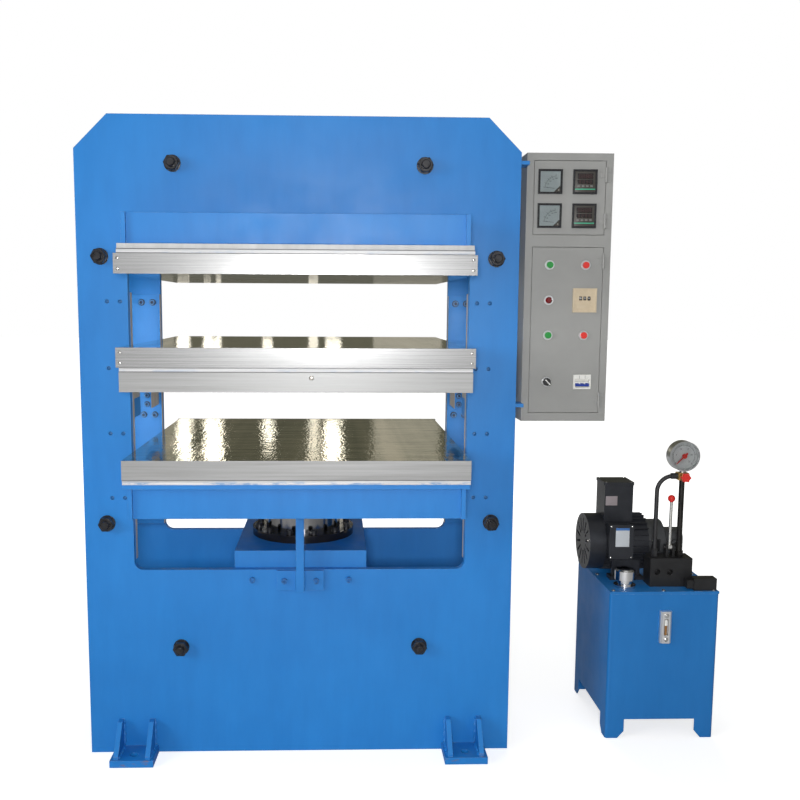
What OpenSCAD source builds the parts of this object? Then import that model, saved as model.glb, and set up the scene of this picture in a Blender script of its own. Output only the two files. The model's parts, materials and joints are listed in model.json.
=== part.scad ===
// Plate vulcanizing press with two heated openings, a side control cabinet and a
// free-standing hydraulic unit. X runs across the press, Y from front to rear, Z up.
// The origin is the middle of the press on the floor, and the ram is down.

/* [Platens] */
// Width of a hot plate
platen_w = 1000; // [800:10:1200]
// Depth of a hot plate, front to rear
platen_d = 1000; // [800:10:1200]
// Thickness of a hot plate
platen_t = 56; // [44:1:70]
// Thickness of an insulation board
insulation_t = 14; // [8:1:20]
// Height of the lower working face above the floor, ram down
platen_z = 980; // [900:5:1050]
// Upper opening, ram down
daylight_upper = 204; // [120:1:260]
// Lower opening, ram down
daylight_lower = 196; // [120:1:260]
// Diameter of a heater rod
heater_d = 16; // [10:1:22]
// Heater rods in each hot plate
heater_count = 8; // [4:1:10]
// Depth of the sheet cover over the heater terminals
cover_d = 12; // [9:1:20]
// How far a cover stands past the ends of its plate
cover_overhang = 5; // [3:1:6]
// Sheet thickness of a cover
cover_t = 3; // [1:0.5:4]

/* [Frame] */
// Thickness of a frame plate
plate_t = 25; // [20:1:60]
// Clear space between the two frame plates
frame_gap = 508; // [460:1:540]
// Room from a hot plate to the window's side
window_clear = 17; // [14:1:30]
// Width of a frame plate beside its window
side_w = 150; // [140:1:220]
// Height of a frame plate above its window
head_h = 303; // [250:1:400]
// Height of the window's bottom edge above the floor
sill_z = 598; // [560:1:640]
// Radius in the window's corners
window_r = 28; // [10:1:50]
// Cut at the frame's upper corners
frame_chamfer = 100; // [40:1:130]
// Diameter of a tie rod
tie_d = 27; // [20:1:33]
// Outside diameter of a spacer tube
spacer_d = 54; // [46:1:70]
// Width of a foot
foot_w = 134; // [110:1:180]
// How far a foot stands out from its frame plate
foot_l = 104; // [80:1:140]
// Height of a foot
foot_h = 112; // [80:1:160]
// Distance from the middle of the press to a foot
foot_x = 520; // [480:1:580]
// Diameter of an anchor hole
anchor_d = 26; // [18:1:32]

/* [Beams and guides] */
// Height of the upper beam
upper_beam_h = 101; // [80:1:140]
// Height of the moving beam
moving_beam_h = 106; // [80:1:140]
// Thickness of a beam's platen plate
beam_plate_t = 14; // [10:1:25]
// Thickness of a beam's end plate
beam_end_t = 13; // [8:1:25]
// Thickness of a guide bar
bar_t = 25; // [18:1:30]
// Width of a guide bar
bar_w = 125; // [120:1:140]
// How far a guide bar stands into the window
bar_proud = 1; // [1:1:8]
// Width of a ledge block under the middle plates
ledge_w = 28; // [20:1:32]
// Depth of a ledge block
ledge_d = 140; // [60:1:160]
// Height of a ledge block
ledge_h = 60; // [50:1:80]
// Drop from the middle plates to their ledges
lug_drop = 50; // [30:1:60]

/* [Ram] */
// Diameter of the plunger
plunger_d = 250; // [180:1:280]
// Width of the cylinder block
block_w = 416; // [400:1:460]
// Height of the cylinder block above the window's sill
block_rise = 54; // [20:1:80]
// Outside diameter of the gland ring
gland_d = 342; // [335:1:370]
// Thickness of the gland ring
gland_h = 25; // [15:1:35]
// Length of the plunger's guide bush
bush_l = 86; // [60:1:120]

/* [Control cabinet] */
// Width of the cabinet
cab_w = 266; // [250:1:340]
// Depth of the cabinet
cab_d = 250; // [200:1:300]
// Height of the cabinet
cab_h = 822; // [800:1:1000]
// Height of the cabinet's floor above the ground
cab_z = 1064; // [950:1:1150]
// Gap between the frame and the cabinet
cab_gap = 25; // [15:1:60]
// Sheet thickness of the cabinet and its doors
cab_t = 2; // [1.5:0.5:3]
// Border around a cabinet door
cab_border = 22; // [20:1:28]
// Height of the upper door's opening
upper_door_h = 224; // [200:1:230]
// Height of the band between the doors
cab_band = 36; // [25:1:60]
// Travel of a push button
button_travel = 4; // [2:0.5:5]

/* [Hydraulic unit] */
// Width of the tank
tank_w = 360; // [350:1:450]
// Depth of the tank
tank_d = 400; // [380:1:500]
// Height of the tank with its lid
tank_h = 500; // [400:1:600]
// Height of the open legs under the tank
tank_leg = 65; // [40:1:90]
// Sheet thickness of the tank
tank_t = 4; // [3:0.5:6]
// Distance from the press frame to the tank
tank_gap = 338; // [320:1:800]
// Diameter of the motor's body
motor_d = 196; // [170:1:210]
// Height of the motor's shaft above the lid
motor_shaft_h = 112; // [110:1:130]
// Diameter of the motor's shaft
shaft_d = 28; // [19:1:32]
// Length of the valve lever from its pivot to the ball's middle
lever_l = 165; // [120:1:200]
// Diameter of the pressure gauge
gauge_d = 100; // [80:1:110]

/* [Clearances] */
// Radial room of a screw or rod in its hole
hole_fit = 0.15; // [0.1:0.05:0.5]
// Radial room of a running shaft, pin or plunger
running_fit = 0.05; // [0.02:0.01:0.1]
// Room between moving faces that do not touch
free_gap = 0.4; // [0.3:0.1:1]

/* [Hidden] */
$fn = 48;
eps = 0.01;
blue = [0.16, 0.47, 0.80];
silver = [0.76, 0.77, 0.78];
steel = [0.62, 0.61, 0.60];
black = [0.08, 0.08, 0.09];
grey = [0.64, 0.64, 0.63];
red = [0.80, 0.10, 0.08];
green = [0.10, 0.55, 0.20];

// Heights of the stack, ram down
lower_bottom = platen_z - platen_t;
moving_top = lower_bottom - insulation_t;
moving_bottom = moving_top - moving_beam_h;
middle_bottom = platen_z + daylight_lower;
middle_split = middle_bottom + platen_t;
middle_upper_z = middle_split + insulation_t;
middle_top = middle_upper_z + platen_t;
upper_bottom = middle_top + daylight_upper;
upper_top = upper_bottom + platen_t;
upper_beam_z = upper_top + insulation_t;
window_top = upper_beam_z + upper_beam_h;
stroke = daylight_upper + daylight_lower;

// Frame outline
window_w = platen_w + 2 * window_clear;
frame_w = window_w + 2 * side_w;
frame_h = window_top + head_h;
inner_y = frame_gap / 2;
outer_y = inner_y + plate_t;
bar_x = window_w / 2 - bar_proud;
bar_inner_y = inner_y - bar_t;
bar_foot = 28;
bar_head = 48;
bar_z = sill_z + bar_foot;
bar_top = upper_bottom - bar_head;
bar_row_inset = 28;
bar_rows = 4;
bar_row_pitch = 201;
bar_columns = [25, 64];
bar_screw_d = 12;
beam_inset = [11, 20];
beam_half = platen_w / 2 - beam_inset[0];
beam_half_d = platen_d / 2 - beam_inset[1];
board_inset = 1;

// Tie rods: across, height and whether the rod passes through the guide bars
tie_edge = 70;
tie_inner_edge = 291;
tie_head_drop = 142;
tie_beam_drop = 113;
tie_sill_rise = 150;
tie_sill_drop = 250;
tie_inner_x = frame_w / 2 - tie_inner_edge;
tie_outer_x = frame_w / 2 - tie_edge;
tie_points = [
  [tie_inner_x, frame_h - tie_head_drop, false],
  [tie_outer_x, window_top - tie_beam_drop, false],
  [tie_outer_x, sill_z + tie_sill_rise, true],
  [tie_inner_x, sill_z - tie_sill_drop, false]
];
tie_room = 1;
washer_d = 50;
washer_t = 4;
nut_af = 41;
nut_h = 24;
rod_tip = 14;

// Ledge blocks and the lugs that rest on them
ledge_inset = 10;
ledge_x = bar_x + ledge_inset;
ledge_top = middle_bottom - lug_drop;
ledge_screw_d = 10;
ledge_screw_rows = [15, 45];
lug_head_gap = 3;
lug_side_gap = bar_screw_d + lug_head_gap;

// Cylinder
block_top = sill_z + block_rise;
bore_gap = 10;
bush_wall = 12;
seal_h = 24;
plunger_r = plunger_d / 2;
bush_r = plunger_r + bush_wall;
seal_z = block_top - seal_h;
bush_z = seal_z - bush_l;
plunger_margin = 24;
plunger_foot = bush_z - stroke - plunger_margin;
floor_gap = 5;
cylinder_floor = plunger_foot - floor_gap;
gland_bolt_room = 31;
gland_pcd = plunger_d + 2 * bush_wall + gland_bolt_room;
gland_bolts = 12;
gland_screw_d = 14;
gland_bite = 25;
screw_end_gap = 5;
port_rise = 45;
port_z = cylinder_floor + port_rise;
port_r = 12;
port_depth = 30;
oilway_r = 8;

// Rest posts under the moving beam
post_w = 25;
post_plate_w = 147;
post_plate_h = 63;
post_plate_t = 12;
post_screw_x = 50;
block_screw_x = 151;
post_screw_drop = 33;
post_screw_z = sill_z - post_screw_drop;
post_screw_d = 12;
post_bite = 30;
thrust_half = 200;
thrust_edge = 10;
thrust_d = outer_y + post_plate_t + post_w + thrust_edge;
thrust_t = 20;

// Cabinet
cab_x = frame_w / 2 + cab_gap;
cab_setback = 39;
cab_y = cab_setback - outer_y;
cab_top = cab_z + cab_h;
door_gap = 1.5;
door_x0 = cab_x + cab_border;
door_x1 = cab_x + cab_w - cab_border;
upper_door_z1 = cab_top - cab_border;
upper_door_z0 = upper_door_z1 - upper_door_h;
lower_door_z1 = upper_door_z0 - cab_band;
lower_sill = 4;
lower_door_z0 = cab_z + cab_border + lower_sill;
door_lip = 12;
hinge_x = door_x1 - door_gap / 2;
hinge_proud = 5;
hinge_y = cab_y - hinge_proud;
hinge_inset = 20;
hinge_r = 4;
pin_r = 2.5;
knuckle_l = 15;
knuckle_gap = 0.5;
leaf_l = 16;
leaf_t = 2;

// Instruments in the upper door
inst_w = 74;
inst_cut = 67;
inst_depth = 60;
inst_column = 107;
inst_row = 102;
inst_left = 8;
inst_low = 3;
inst_x0 = (door_x0 + door_x1) / 2 - inst_column / 2 - inst_left;
inst_z0 = (upper_door_z0 + upper_door_z1) / 2 - inst_row / 2 - inst_low;
bezel_t = 7;

// Controls in the lower door
ctrl_column = 112;
ctrl_x0 = (door_x0 + door_x1) / 2 - ctrl_column / 2;
ctrl_x1 = ctrl_x0 + ctrl_column;
ctrl_top = 55;
ctrl_row = 108;
switch_drop = 145;
row_1 = lower_door_z1 - ctrl_top;
row_2 = row_1 - ctrl_row;
row_3 = row_2 - ctrl_row;
row_4 = row_3 - switch_drop;
hole_r = 11;
bezel_r = 14.5;
bezel_h = 5;
cap_r = 10;
cap_rest = 2;
cap_proud = button_travel + cap_rest;
cap_depth = 5;
stem_r = 4;
stem_l = 14;
thread_l = 11;
contact_w = 28;
contact_y = 10;
contact_d = 38;
breaker_w = 54;
breaker_h = 45;
breaker_body_h = 80;
breaker_body_d = 60;
breaker_nose = 6;
toggle_r = 6;
toggle_pin_r = 2;
breaker_cheek = 4;
breaker_well_w = breaker_w - 2 * breaker_cheek;
toggle_depth = 3;
toggle_drop = 4;
toggle_y = cab_y + toggle_depth;
toggle_z = row_4 - toggle_drop;

// Hydraulic unit
tank_x = frame_w / 2 + tank_gap;
tank_y = -215;
lid_t = 8;
motor_overhang = 31;
motor_set = 235;
motor_x = tank_x - motor_overhang;
motor_y = tank_y + motor_set;
motor_z = tank_h + motor_shaft_h;
cowl_l = 56;
motor_l = 148;
bell_l = 62;
pump_l = 70;
motor_x1 = motor_x + cowl_l;
bell_x = motor_x1 + motor_l;
pump_x = bell_x + bell_l;
bell_d = 150;
bell_wall = 12;
coupling_d = 64;
valve_inset = [148, 55];
valve_x = tank_x + valve_inset[0];
valve_w = 140;
valve_y = tank_y + valve_inset[1];
valve_d = 68;
valve_h = 96;
valve_z = tank_h + valve_h;
lever_inset = 221;
lever_x = tank_x + lever_inset;
lever_y = valve_y + valve_d / 2;
lever_rise = 30;
lever_z = valve_z + lever_rise;
lever_r = 5;
lever_ear = 8;
lever_slot = 14;
lever_pin_r = 4;
ball_r = 12;
gauge_inset = 253;
gauge_x = tank_x + gauge_inset;
gauge_y = lever_y;
gauge_rise = 435;
gauge_z = tank_h + gauge_rise;
gauge_t = 38;
gauge_stem = 6;
needle_pin_r = 2;
stand_r = 9;
tap_w = 34;
tap_h = 24;
tap_z = gauge_z - gauge_d / 2 - gauge_stem - tap_h;
hose_r = 7;
hose_bend = 52;
hose_offset = 82;
hose_x = gauge_x - hose_offset;
cap_inset = [66, 62];
cap_x = tank_x + cap_inset[0];
cap_y = tank_y + cap_inset[1];
tank_r = 9;
relief_w = 96;
relief_d = 36;
relief_h = 40;
relief_inset = [6, 10];

// A flat outline in X and Z, carried along Y
module along_y(y0, y1) {
  translate([0, y1, 0]) rotate([90, 0, 0]) linear_extrude(y1 - y0) children();
}

// A flat outline in Y and Z, carried along X
module along_x(x0, x1) {
  translate([x0, 0, 0]) rotate([90, 0, 90]) linear_extrude(x1 - x0) children();
}

// A box between two corners
module block(low, high) {
  translate(low) cube(high - low);
}

// A round bar along Y or X from a point
module rod_y(x, y, z, r, l) {
  translate([x, y, z]) rotate([-90, 0, 0]) cylinder(r = r, h = l);
}

module rod_x(x, y, z, r, l) {
  translate([x, y, z]) rotate([0, 90, 0]) cylinder(r = r, h = l);
}

// A shape on both sides of the press, and at front and rear
module both_sides() {
  children();
  mirror([1, 0, 0]) children();
}

module front_and_rear() {
  children();
  mirror([0, 1, 0]) children();
}

module all_corners() {
  front_and_rear() both_sides() children();
}

// A rectangle with true round corners
module round_rect(x0, z0, x1, z1, r) {
  translate([x0 + r, z0]) square([x1 - x0 - 2 * r, z1 - z0]);
  translate([x0, z0 + r]) square([x1 - x0, z1 - z0 - 2 * r]);
  for (x = [x0 + r, x1 - r], z = [z0 + r, z1 - r]) translate([x, z]) circle(r = r);
}

// A socket head screw along +Z, its head's seat at the origin
module cap_screw(d, l) {
  head_h = d;
  head_r = 0.75 * d;
  socket_depth = 0.5 * d;
  difference() {
    union() {
      translate([0, 0, -l]) cylinder(d = d, h = l);
      cylinder(r = head_r, h = head_h);
    }
    translate([0, 0, head_h - socket_depth]) cylinder(d = d, h = socket_depth + eps, $fn = 6);
  }
}

// A chamfered hexagon nut along +Z
module hex_nut(af, h, bore) {
  chamfer = 3;
  difference() {
    intersection() {
      cylinder(d = af / cos(30), h = h, $fn = 6);
      union() {
        cylinder(d = af / cos(30) + 1, h = h - chamfer);
        translate([0, 0, h - chamfer])
          cylinder(d1 = af / cos(30) + 1, d2 = af - 2, h = chamfer);
      }
    }
    translate([0, 0, -eps]) cylinder(d = bore, h = h + 2 * eps);
  }
}

// Places of the guide bar screws on the right-hand side, X and Z
function bar_screw_points() = [
  for (c = bar_columns, k = [0 : bar_rows - 1])
    [bar_x + c, bar_top - bar_row_inset - k * bar_row_pitch]
];

module frame_outline() {
  c = frame_chamfer;
  polygon([
    [-frame_w / 2, 0], [frame_w / 2, 0], [frame_w / 2, frame_h - c], [frame_w / 2 - c, frame_h],
    [c - frame_w / 2, frame_h], [-frame_w / 2, frame_h - c]
  ]);
}

module frame_profile() {
  difference() {
    frame_outline();
    round_rect(-window_w / 2, sill_z, window_w / 2, window_top, window_r);
    for (side = [-1, 1]) {
      for (p = tie_points) translate([side * p[0], p[1]]) circle(d = tie_d + 2 * tie_room);
      for (p = bar_screw_points())
        translate([side * p[0], p[1]]) circle(d = bar_screw_d + 2 * hole_fit);
      for (x = [post_screw_x, block_screw_x])
        translate([side * x, post_screw_z]) circle(d = post_screw_d + 2 * hole_fit);
    }
  }
}

// One foot: a base plate with an anchor hole between two gussets
module foot() {
  base_t = 22;
  gusset_t = 15;
  gusset_inset = 18;
  gusset_x = foot_w / 2 - gusset_inset;
  gusset_top = 26;
  gusset_toe = 8;
  difference() {
    block([foot_x - foot_w / 2, -outer_y - foot_l, 0], [foot_x + foot_w / 2, -outer_y, base_t]);
    translate([foot_x, anchor_y(), -eps]) cylinder(d = anchor_d, h = base_t + 2 * eps);
  }
  for (side = [-1, 1])
    along_x(foot_x + side * gusset_x - gusset_t / 2, foot_x + side * gusset_x + gusset_t / 2)
      polygon([
        [-outer_y, base_t], [-outer_y - foot_l + gusset_toe, base_t],
        [-outer_y - foot_l + gusset_toe, base_t + gusset_toe],
        [-outer_y - gusset_top, foot_h], [-outer_y, foot_h]
      ]);
}

anchor_edge = 42;
function anchor_y() = -outer_y - foot_l + anchor_edge;

// Flat tabs on the frame's straight edge, below its cut corner, that carry the cabinet
module cabinet_tabs() {
  tab_t = 11;
  upper_tab_drop = 41;
  corner_gap = 35;
  lower_tab_rise = 47;
  tab_inset = 2;
  tab_reach = 30;
  upper_z = min(cab_top - upper_tab_drop, frame_h - frame_chamfer - corner_gap);
  for (z = [upper_z, cab_z + lower_tab_rise])
    block([frame_w / 2, tab_inset - outer_y, z], [cab_x, cab_y + tab_reach, z + tab_t]);
}

module front_frame_plate() {
  color(blue) {
    along_y(-outer_y, -inner_y) frame_profile();
    both_sides() foot();
    cabinet_tabs();
  }
}

module rear_frame_plate() {
  color(blue) {
    along_y(inner_y, outer_y) frame_profile();
    mirror([0, 1, 0]) both_sides() foot();
  }
}

// Tie rods, each with a washer and a nut at both ends
module tie_rods() {
  reach = outer_y + washer_t + nut_h + rod_tip;
  tip = 3;
  color(black)
    both_sides()
      for (p = tie_points) {
        rod_y(p[0], tip - reach, p[1], tie_d / 2, 2 * (reach - tip));
        front_and_rear() {
          translate([p[0], reach - tip, p[1]]) rotate([-90, 0, 0])
            cylinder(d1 = tie_d, d2 = tie_d - 2 * tip, h = tip);
          translate([p[0], outer_y, p[1]]) rotate([-90, 0, 0]) tie_nut();
        }
      }
}

module tie_nut() {
  difference() {
    cylinder(d = washer_d, h = washer_t);
    translate([0, 0, -eps]) cylinder(d = tie_d + tie_room, h = washer_t + 2 * eps);
  }
  translate([0, 0, washer_t]) hex_nut(nut_af, nut_h, tie_d + 2 * hole_fit);
}

module spacer_tubes() {
  color(blue)
    both_sides()
      for (p = tie_points) {
        reach = p[2] ? bar_inner_y : inner_y;
        difference() {
          rod_y(p[0], -reach, p[1], spacer_d / 2, 2 * reach);
          rod_y(p[0], -reach - 1, p[1], tie_d / 2 + tie_room, 2 * reach + 2);
        }
      }
}

module guide_bars() {
  bite = 18;
  tie = tie_points[2];
  color(blue)
    all_corners()
      difference() {
        block([bar_x, bar_inner_y, bar_z], [bar_x + bar_w, inner_y, bar_top]);
        for (p = bar_screw_points())
          rod_y(p[0], bar_inner_y - 1, p[1], bar_screw_d / 2 + hole_fit, bar_t + 2);
        rod_y(tie[0], bar_inner_y - 1, tie[1], tie_d / 2 + tie_room, bar_t + 2);
        for (row = ledge_screw_rows)
          rod_y(ledge_x + ledge_w / 2, bar_inner_y - 1, ledge_top - row,
                ledge_screw_d / 2 + hole_fit, bite + 1);
      }
}

module ledge_blocks() {
  color(steel)
    all_corners()
      difference() {
        block([ledge_x, bar_inner_y - ledge_d, ledge_top - ledge_h],
              [ledge_x + ledge_w, bar_inner_y, ledge_top]);
        for (row = ledge_screw_rows)
          rod_y(ledge_x + ledge_w / 2, bar_inner_y - ledge_d - 1, ledge_top - row,
                ledge_screw_d / 2 + hole_fit, ledge_d + 2);
      }
}

// Every socket head screw of the press frame
module cap_screws() {
  ledge_bite = 15;
  color(black) {
    all_corners() {
      for (p = bar_screw_points())
        translate([p[0], bar_inner_y, p[1]]) rotate([90, 0, 0])
          cap_screw(bar_screw_d, bar_t + plate_t - 1);
      for (row = ledge_screw_rows)
        translate([ledge_x + ledge_w / 2, bar_inner_y - ledge_d, ledge_top - row])
          rotate([90, 0, 0]) cap_screw(ledge_screw_d, ledge_d + ledge_bite);
      translate([post_screw_x, outer_y + post_plate_t, post_screw_z]) rotate([-90, 0, 0])
        cap_screw(post_screw_d, post_plate_t + plate_t - 1);
      translate([block_screw_x, outer_y, post_screw_z]) rotate([-90, 0, 0])
        cap_screw(post_screw_d, plate_t + post_bite);
    }
    for (k = [1 : gland_bolts])
      rotate(360 / gland_bolts * (k - 0.5))
        translate([gland_pcd / 2, 0, block_top + gland_h]) cap_screw(gland_screw_d, gland_h + gland_bite);
  }
}

// A welded beam: a platen plate, end plates, outer webs and thick webs in line with the frame
module beam(z0, z1, plate_low) {
  web_t = 15;
  web_set = 12;
  rib_t = 14;
  ribs = 5;
  web_margin = 2;
  plate_inset = [2, 5];
  plate_x = platen_w / 2 - plate_inset[0];
  plate_y = platen_d / 2 - plate_inset[1];
  plate_z = plate_low ? z0 : z1 - beam_plate_t;
  block([-plate_x, -plate_y, plate_z], [plate_x, plate_y, plate_z + beam_plate_t]);
  both_sides()
    block([beam_half - beam_end_t, -beam_half_d, z0], [beam_half, beam_half_d, z1]);
  front_and_rear() {
    block([-beam_half, beam_half_d - web_set - web_t, z0], [beam_half, beam_half_d - web_set, z1]);
    block([-beam_half, inner_y + web_margin, z0], [beam_half, outer_y - web_margin, z1]);
  }
  for (k = [1 : ribs], x = [beam_half * (2 * k / (ribs + 1) - 1)])
    block([x - rib_t / 2, web_set + web_t - beam_half_d, z0],
          [x + rib_t / 2, beam_half_d - web_set - web_t, z1]);
}

module upper_beam() {
  color(blue) beam(upper_beam_z, window_top, true);
}

// Guide shoes on the moving beam run along the edges of the guide bars
module moving_beam() {
  shoe_w = 33;
  shoe_z = 12;
  color(blue) {
    beam(moving_bottom, moving_top, false);
    block([-thrust_half, -thrust_d, moving_bottom],
          [thrust_half, thrust_d, moving_bottom + thrust_t]);
    all_corners()
      block([beam_half - 1, inner_y - shoe_w, moving_bottom + shoe_z],
            [bar_x - free_gap, inner_y, moving_top - shoe_z]);
  }
}

module board(z) {
  half_w = platen_w / 2 - board_inset;
  half_d = platen_d / 2 - board_inset;
  block([-half_w, -half_d, z], [half_w, half_d, z + insulation_t]);
}

module upper_insulation() {
  color(silver) board(upper_top);
}

module lower_insulation() {
  color(silver) board(moving_top);
}

module middle_insulation() {
  color(silver) board(middle_split);
}

// Places of the heater rods across a plate
function heater_xs() = [
  for (k = [1 : heater_count]) platen_w * ((k - 0.5) / heater_count - 0.5)
];
heater_end = 12;

// A hot plate with blind heater bores, open at the front
module hot_plate(z) {
  difference() {
    block([-platen_w / 2, -platen_d / 2, z], [platen_w / 2, platen_d / 2, z + platen_t]);
    for (x = heater_xs())
      rod_y(x, -platen_d / 2 - 1, z + platen_t / 2, heater_d / 2 + hole_fit, platen_d + 1 - heater_end);
  }
}

// Heater rods with terminal studs at the front
module heaters(z) {
  stud_gap = 2;
  stud_l = cover_d - cover_t - stud_gap;
  for (x = heater_xs()) {
    rod_y(x, -platen_d / 2, z + platen_t / 2, heater_d / 2, platen_d - heater_end);
    rod_y(x, -platen_d / 2 - stud_l, z + platen_t / 2, heater_d / 5, stud_l + 1);
  }
}

module to_rear() {
  mirror([0, 1, 0]) children();
}

// A shallow sheet channel over the terminals
module terminal_cover(z) {
  half = platen_w / 2 + cover_overhang;
  front = -platen_d / 2 - cover_d;
  difference() {
    block([-half, front, z], [half, -platen_d / 2, z + platen_t]);
    block([cover_t - half, front + cover_t, z + cover_t],
          [half - cover_t, 1 - platen_d / 2, z + platen_t - cover_t]);
  }
}

module upper_hot_plate() {
  color(silver) hot_plate(upper_bottom);
}

module upper_front_cover() {
  color(silver) terminal_cover(upper_bottom);
}

module upper_heaters() {
  color(steel) heaters(upper_bottom);
}

module lower_hot_plate() {
  color(silver) to_rear() hot_plate(lower_bottom);
}

// The lower plate's heater rods, with the sheet cover over their terminals at the rear
module lower_heaters() {
  color(steel)
    to_rear() {
      heaters(lower_bottom);
      terminal_cover(lower_bottom);
    }
}

module middle_upper_plate() {
  color(silver) hot_plate(middle_upper_z);
}

module middle_front_cover() {
  color(silver) terminal_cover(middle_upper_z);
}

// Heater rods of both middle plates, with the rear cover of the lower one
module middle_heaters() {
  color(steel) {
    heaters(middle_upper_z);
    to_rear() {
      heaters(middle_bottom);
      terminal_cover(middle_bottom);
    }
  }
}

// The lower of the middle plates carries the side lugs that rest on the ledges
module middle_lower_plate() {
  lug_inset = 3;
  lug_set = 5;
  lug_y0 = bar_inner_y - ledge_d + lug_set;
  lug_y1 = bar_inner_y - lug_side_gap;
  color(silver) {
    to_rear() hot_plate(middle_bottom);
    all_corners() {
      block([platen_w / 2 - 1, lug_y0, middle_bottom + lug_inset],
            [ledge_x + ledge_w, lug_y1, middle_split - lug_inset]);
      block([ledge_x, lug_y0, ledge_top], [ledge_x + ledge_w, lug_y1, middle_bottom + lug_inset + 1]);
    }
  }
}

// The cylinder is bored for the plunger, with seats for the bush and the seal
module cylinder_block() {
  oilway = block_w / 2 - plunger_r;
  color(blue)
    difference() {
      block([-block_w / 2, -inner_y, 0], [block_w / 2, inner_y, block_top]);
      translate([0, 0, cylinder_floor]) cylinder(r = plunger_r + bore_gap, h = block_top, $fn = 96);
      translate([0, 0, bush_z]) cylinder(r = bush_r + running_fit, h = block_top, $fn = 96);
      rod_x(-block_w / 2 - 1, 0, port_z, port_r, port_depth + 1);
      rod_x(-block_w / 2, 0, port_z, oilway_r, oilway);
      for (k = [1 : gland_bolts])
        rotate(360 / gland_bolts * (k - 0.5))
          translate([gland_pcd / 2, 0, block_top - gland_bite - screw_end_gap])
            cylinder(d = gland_screw_d + 2 * hole_fit, h = gland_bite + screw_end_gap + 1);
      all_corners()
        rod_y(block_screw_x, inner_y - post_bite - screw_end_gap, post_screw_z,
              post_screw_d / 2 + hole_fit, post_bite + screw_end_gap + 1);
    }
}

// A ring about the plunger's axis
module collar(r_in, r_out, z, h) {
  translate([0, 0, z])
    difference() {
      cylinder(r = r_out, h = h, $fn = 96);
      translate([0, 0, -1]) cylinder(r = r_in, h = h + 2, $fn = 96);
    }
}

module guide_bush() {
  color("goldenrod") collar(plunger_r + running_fit, bush_r, bush_z, bush_l);
}

module plunger_seal() {
  color(black) collar(plunger_r + free_gap, bush_r, seal_z, seal_h);
}

module gland_ring() {
  color(black)
    difference() {
      collar(plunger_r + free_gap, gland_d / 2, block_top, gland_h);
      for (k = [1 : gland_bolts])
        rotate(360 / gland_bolts * (k - 0.5))
          translate([gland_pcd / 2, 0, block_top - 1])
            cylinder(d = gland_screw_d + 2 * hole_fit, h = gland_h + 2);
    }
}

module plunger() {
  chamfer = 6;
  color(silver) {
    translate([0, 0, plunger_foot])
      cylinder(r1 = plunger_r - chamfer, r2 = plunger_r, h = chamfer, $fn = 96);
    translate([0, 0, plunger_foot + chamfer])
      cylinder(r = plunger_r, h = moving_bottom - plunger_foot - chamfer, $fn = 96);
  }
}

// Square posts on screwed brackets that the moving beam comes down on
module rest_posts() {
  z0 = sill_z - post_plate_h - 1;
  color(blue)
    front_and_rear() {
      difference() {
        block([-post_plate_w / 2, outer_y, z0], [post_plate_w / 2, outer_y + post_plate_t, sill_z - 1]);
        for (side = [-1, 1])
          rod_y(side * post_screw_x, outer_y - 1, post_screw_z, post_screw_d / 2 + hole_fit,
                post_plate_t + 2);
      }
      block([-post_w / 2, outer_y + post_plate_t, z0],
            [post_w / 2, outer_y + post_plate_t + post_w, moving_bottom]);
    }
}

module cabinet_shell() {
  gland_r = 16;
  color(grey)
    difference() {
      block([cab_x, cab_y, cab_z], [cab_x + cab_w, cab_y + cab_d, cab_top]);
      block([cab_x + cab_t, cab_y + cab_t, cab_z + cab_t],
            [cab_x + cab_w - cab_t, cab_y + cab_d - cab_t, cab_top - cab_t]);
      block([door_x0, cab_y - 1, upper_door_z0], [door_x1, cab_y + cab_t + 1, upper_door_z1]);
      block([door_x0, cab_y - 1, lower_door_z0], [door_x1, cab_y + cab_t + 1, lower_door_z1]);
      translate([cable_x(), cable_y(), cab_z - 1]) cylinder(r = gland_r, h = cab_t + 2);
    }
}

cable_inset = 60;
function cable_x() = cab_x + cab_w / 2;
function cable_y() = cab_y + cab_d - cable_inset;

// The plate that carries the switchgear, on four stand-offs from the rear wall
plate_gap = 10;
plate_sheet = 3;
gear_y = cab_y + cab_d - cab_t - plate_gap - plate_sheet;

module mounting_plate() {
  side = 18;
  ends = 38;
  stud_r = 5;
  stud_inset = 15;
  x0 = cab_x + side;
  x1 = cab_x + cab_w - side;
  z0 = cab_z + ends;
  z1 = cab_top - ends;
  color("gainsboro") {
    block([x0, gear_y, z0], [x1, gear_y + plate_sheet, z1]);
    for (x = [x0 + stud_inset, x1 - stud_inset], z = [z0 + stud_inset, z1 - stud_inset])
      rod_y(x, gear_y + plate_sheet - 1, z, stud_r, plate_gap + 1);
  }
}

// One contactor: a stepped body with two rows of terminals
module contactor(x, z) {
  w = 45;
  h = 74;
  base_d = 48;
  full_d = 80;
  step = 16;
  side = 4;
  block([x, gear_y - base_d, z], [x + w, gear_y, z + h]);
  block([x + side, gear_y - full_d, z + step], [x + w - side, gear_y - base_d, z + h - step]);
}

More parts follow.
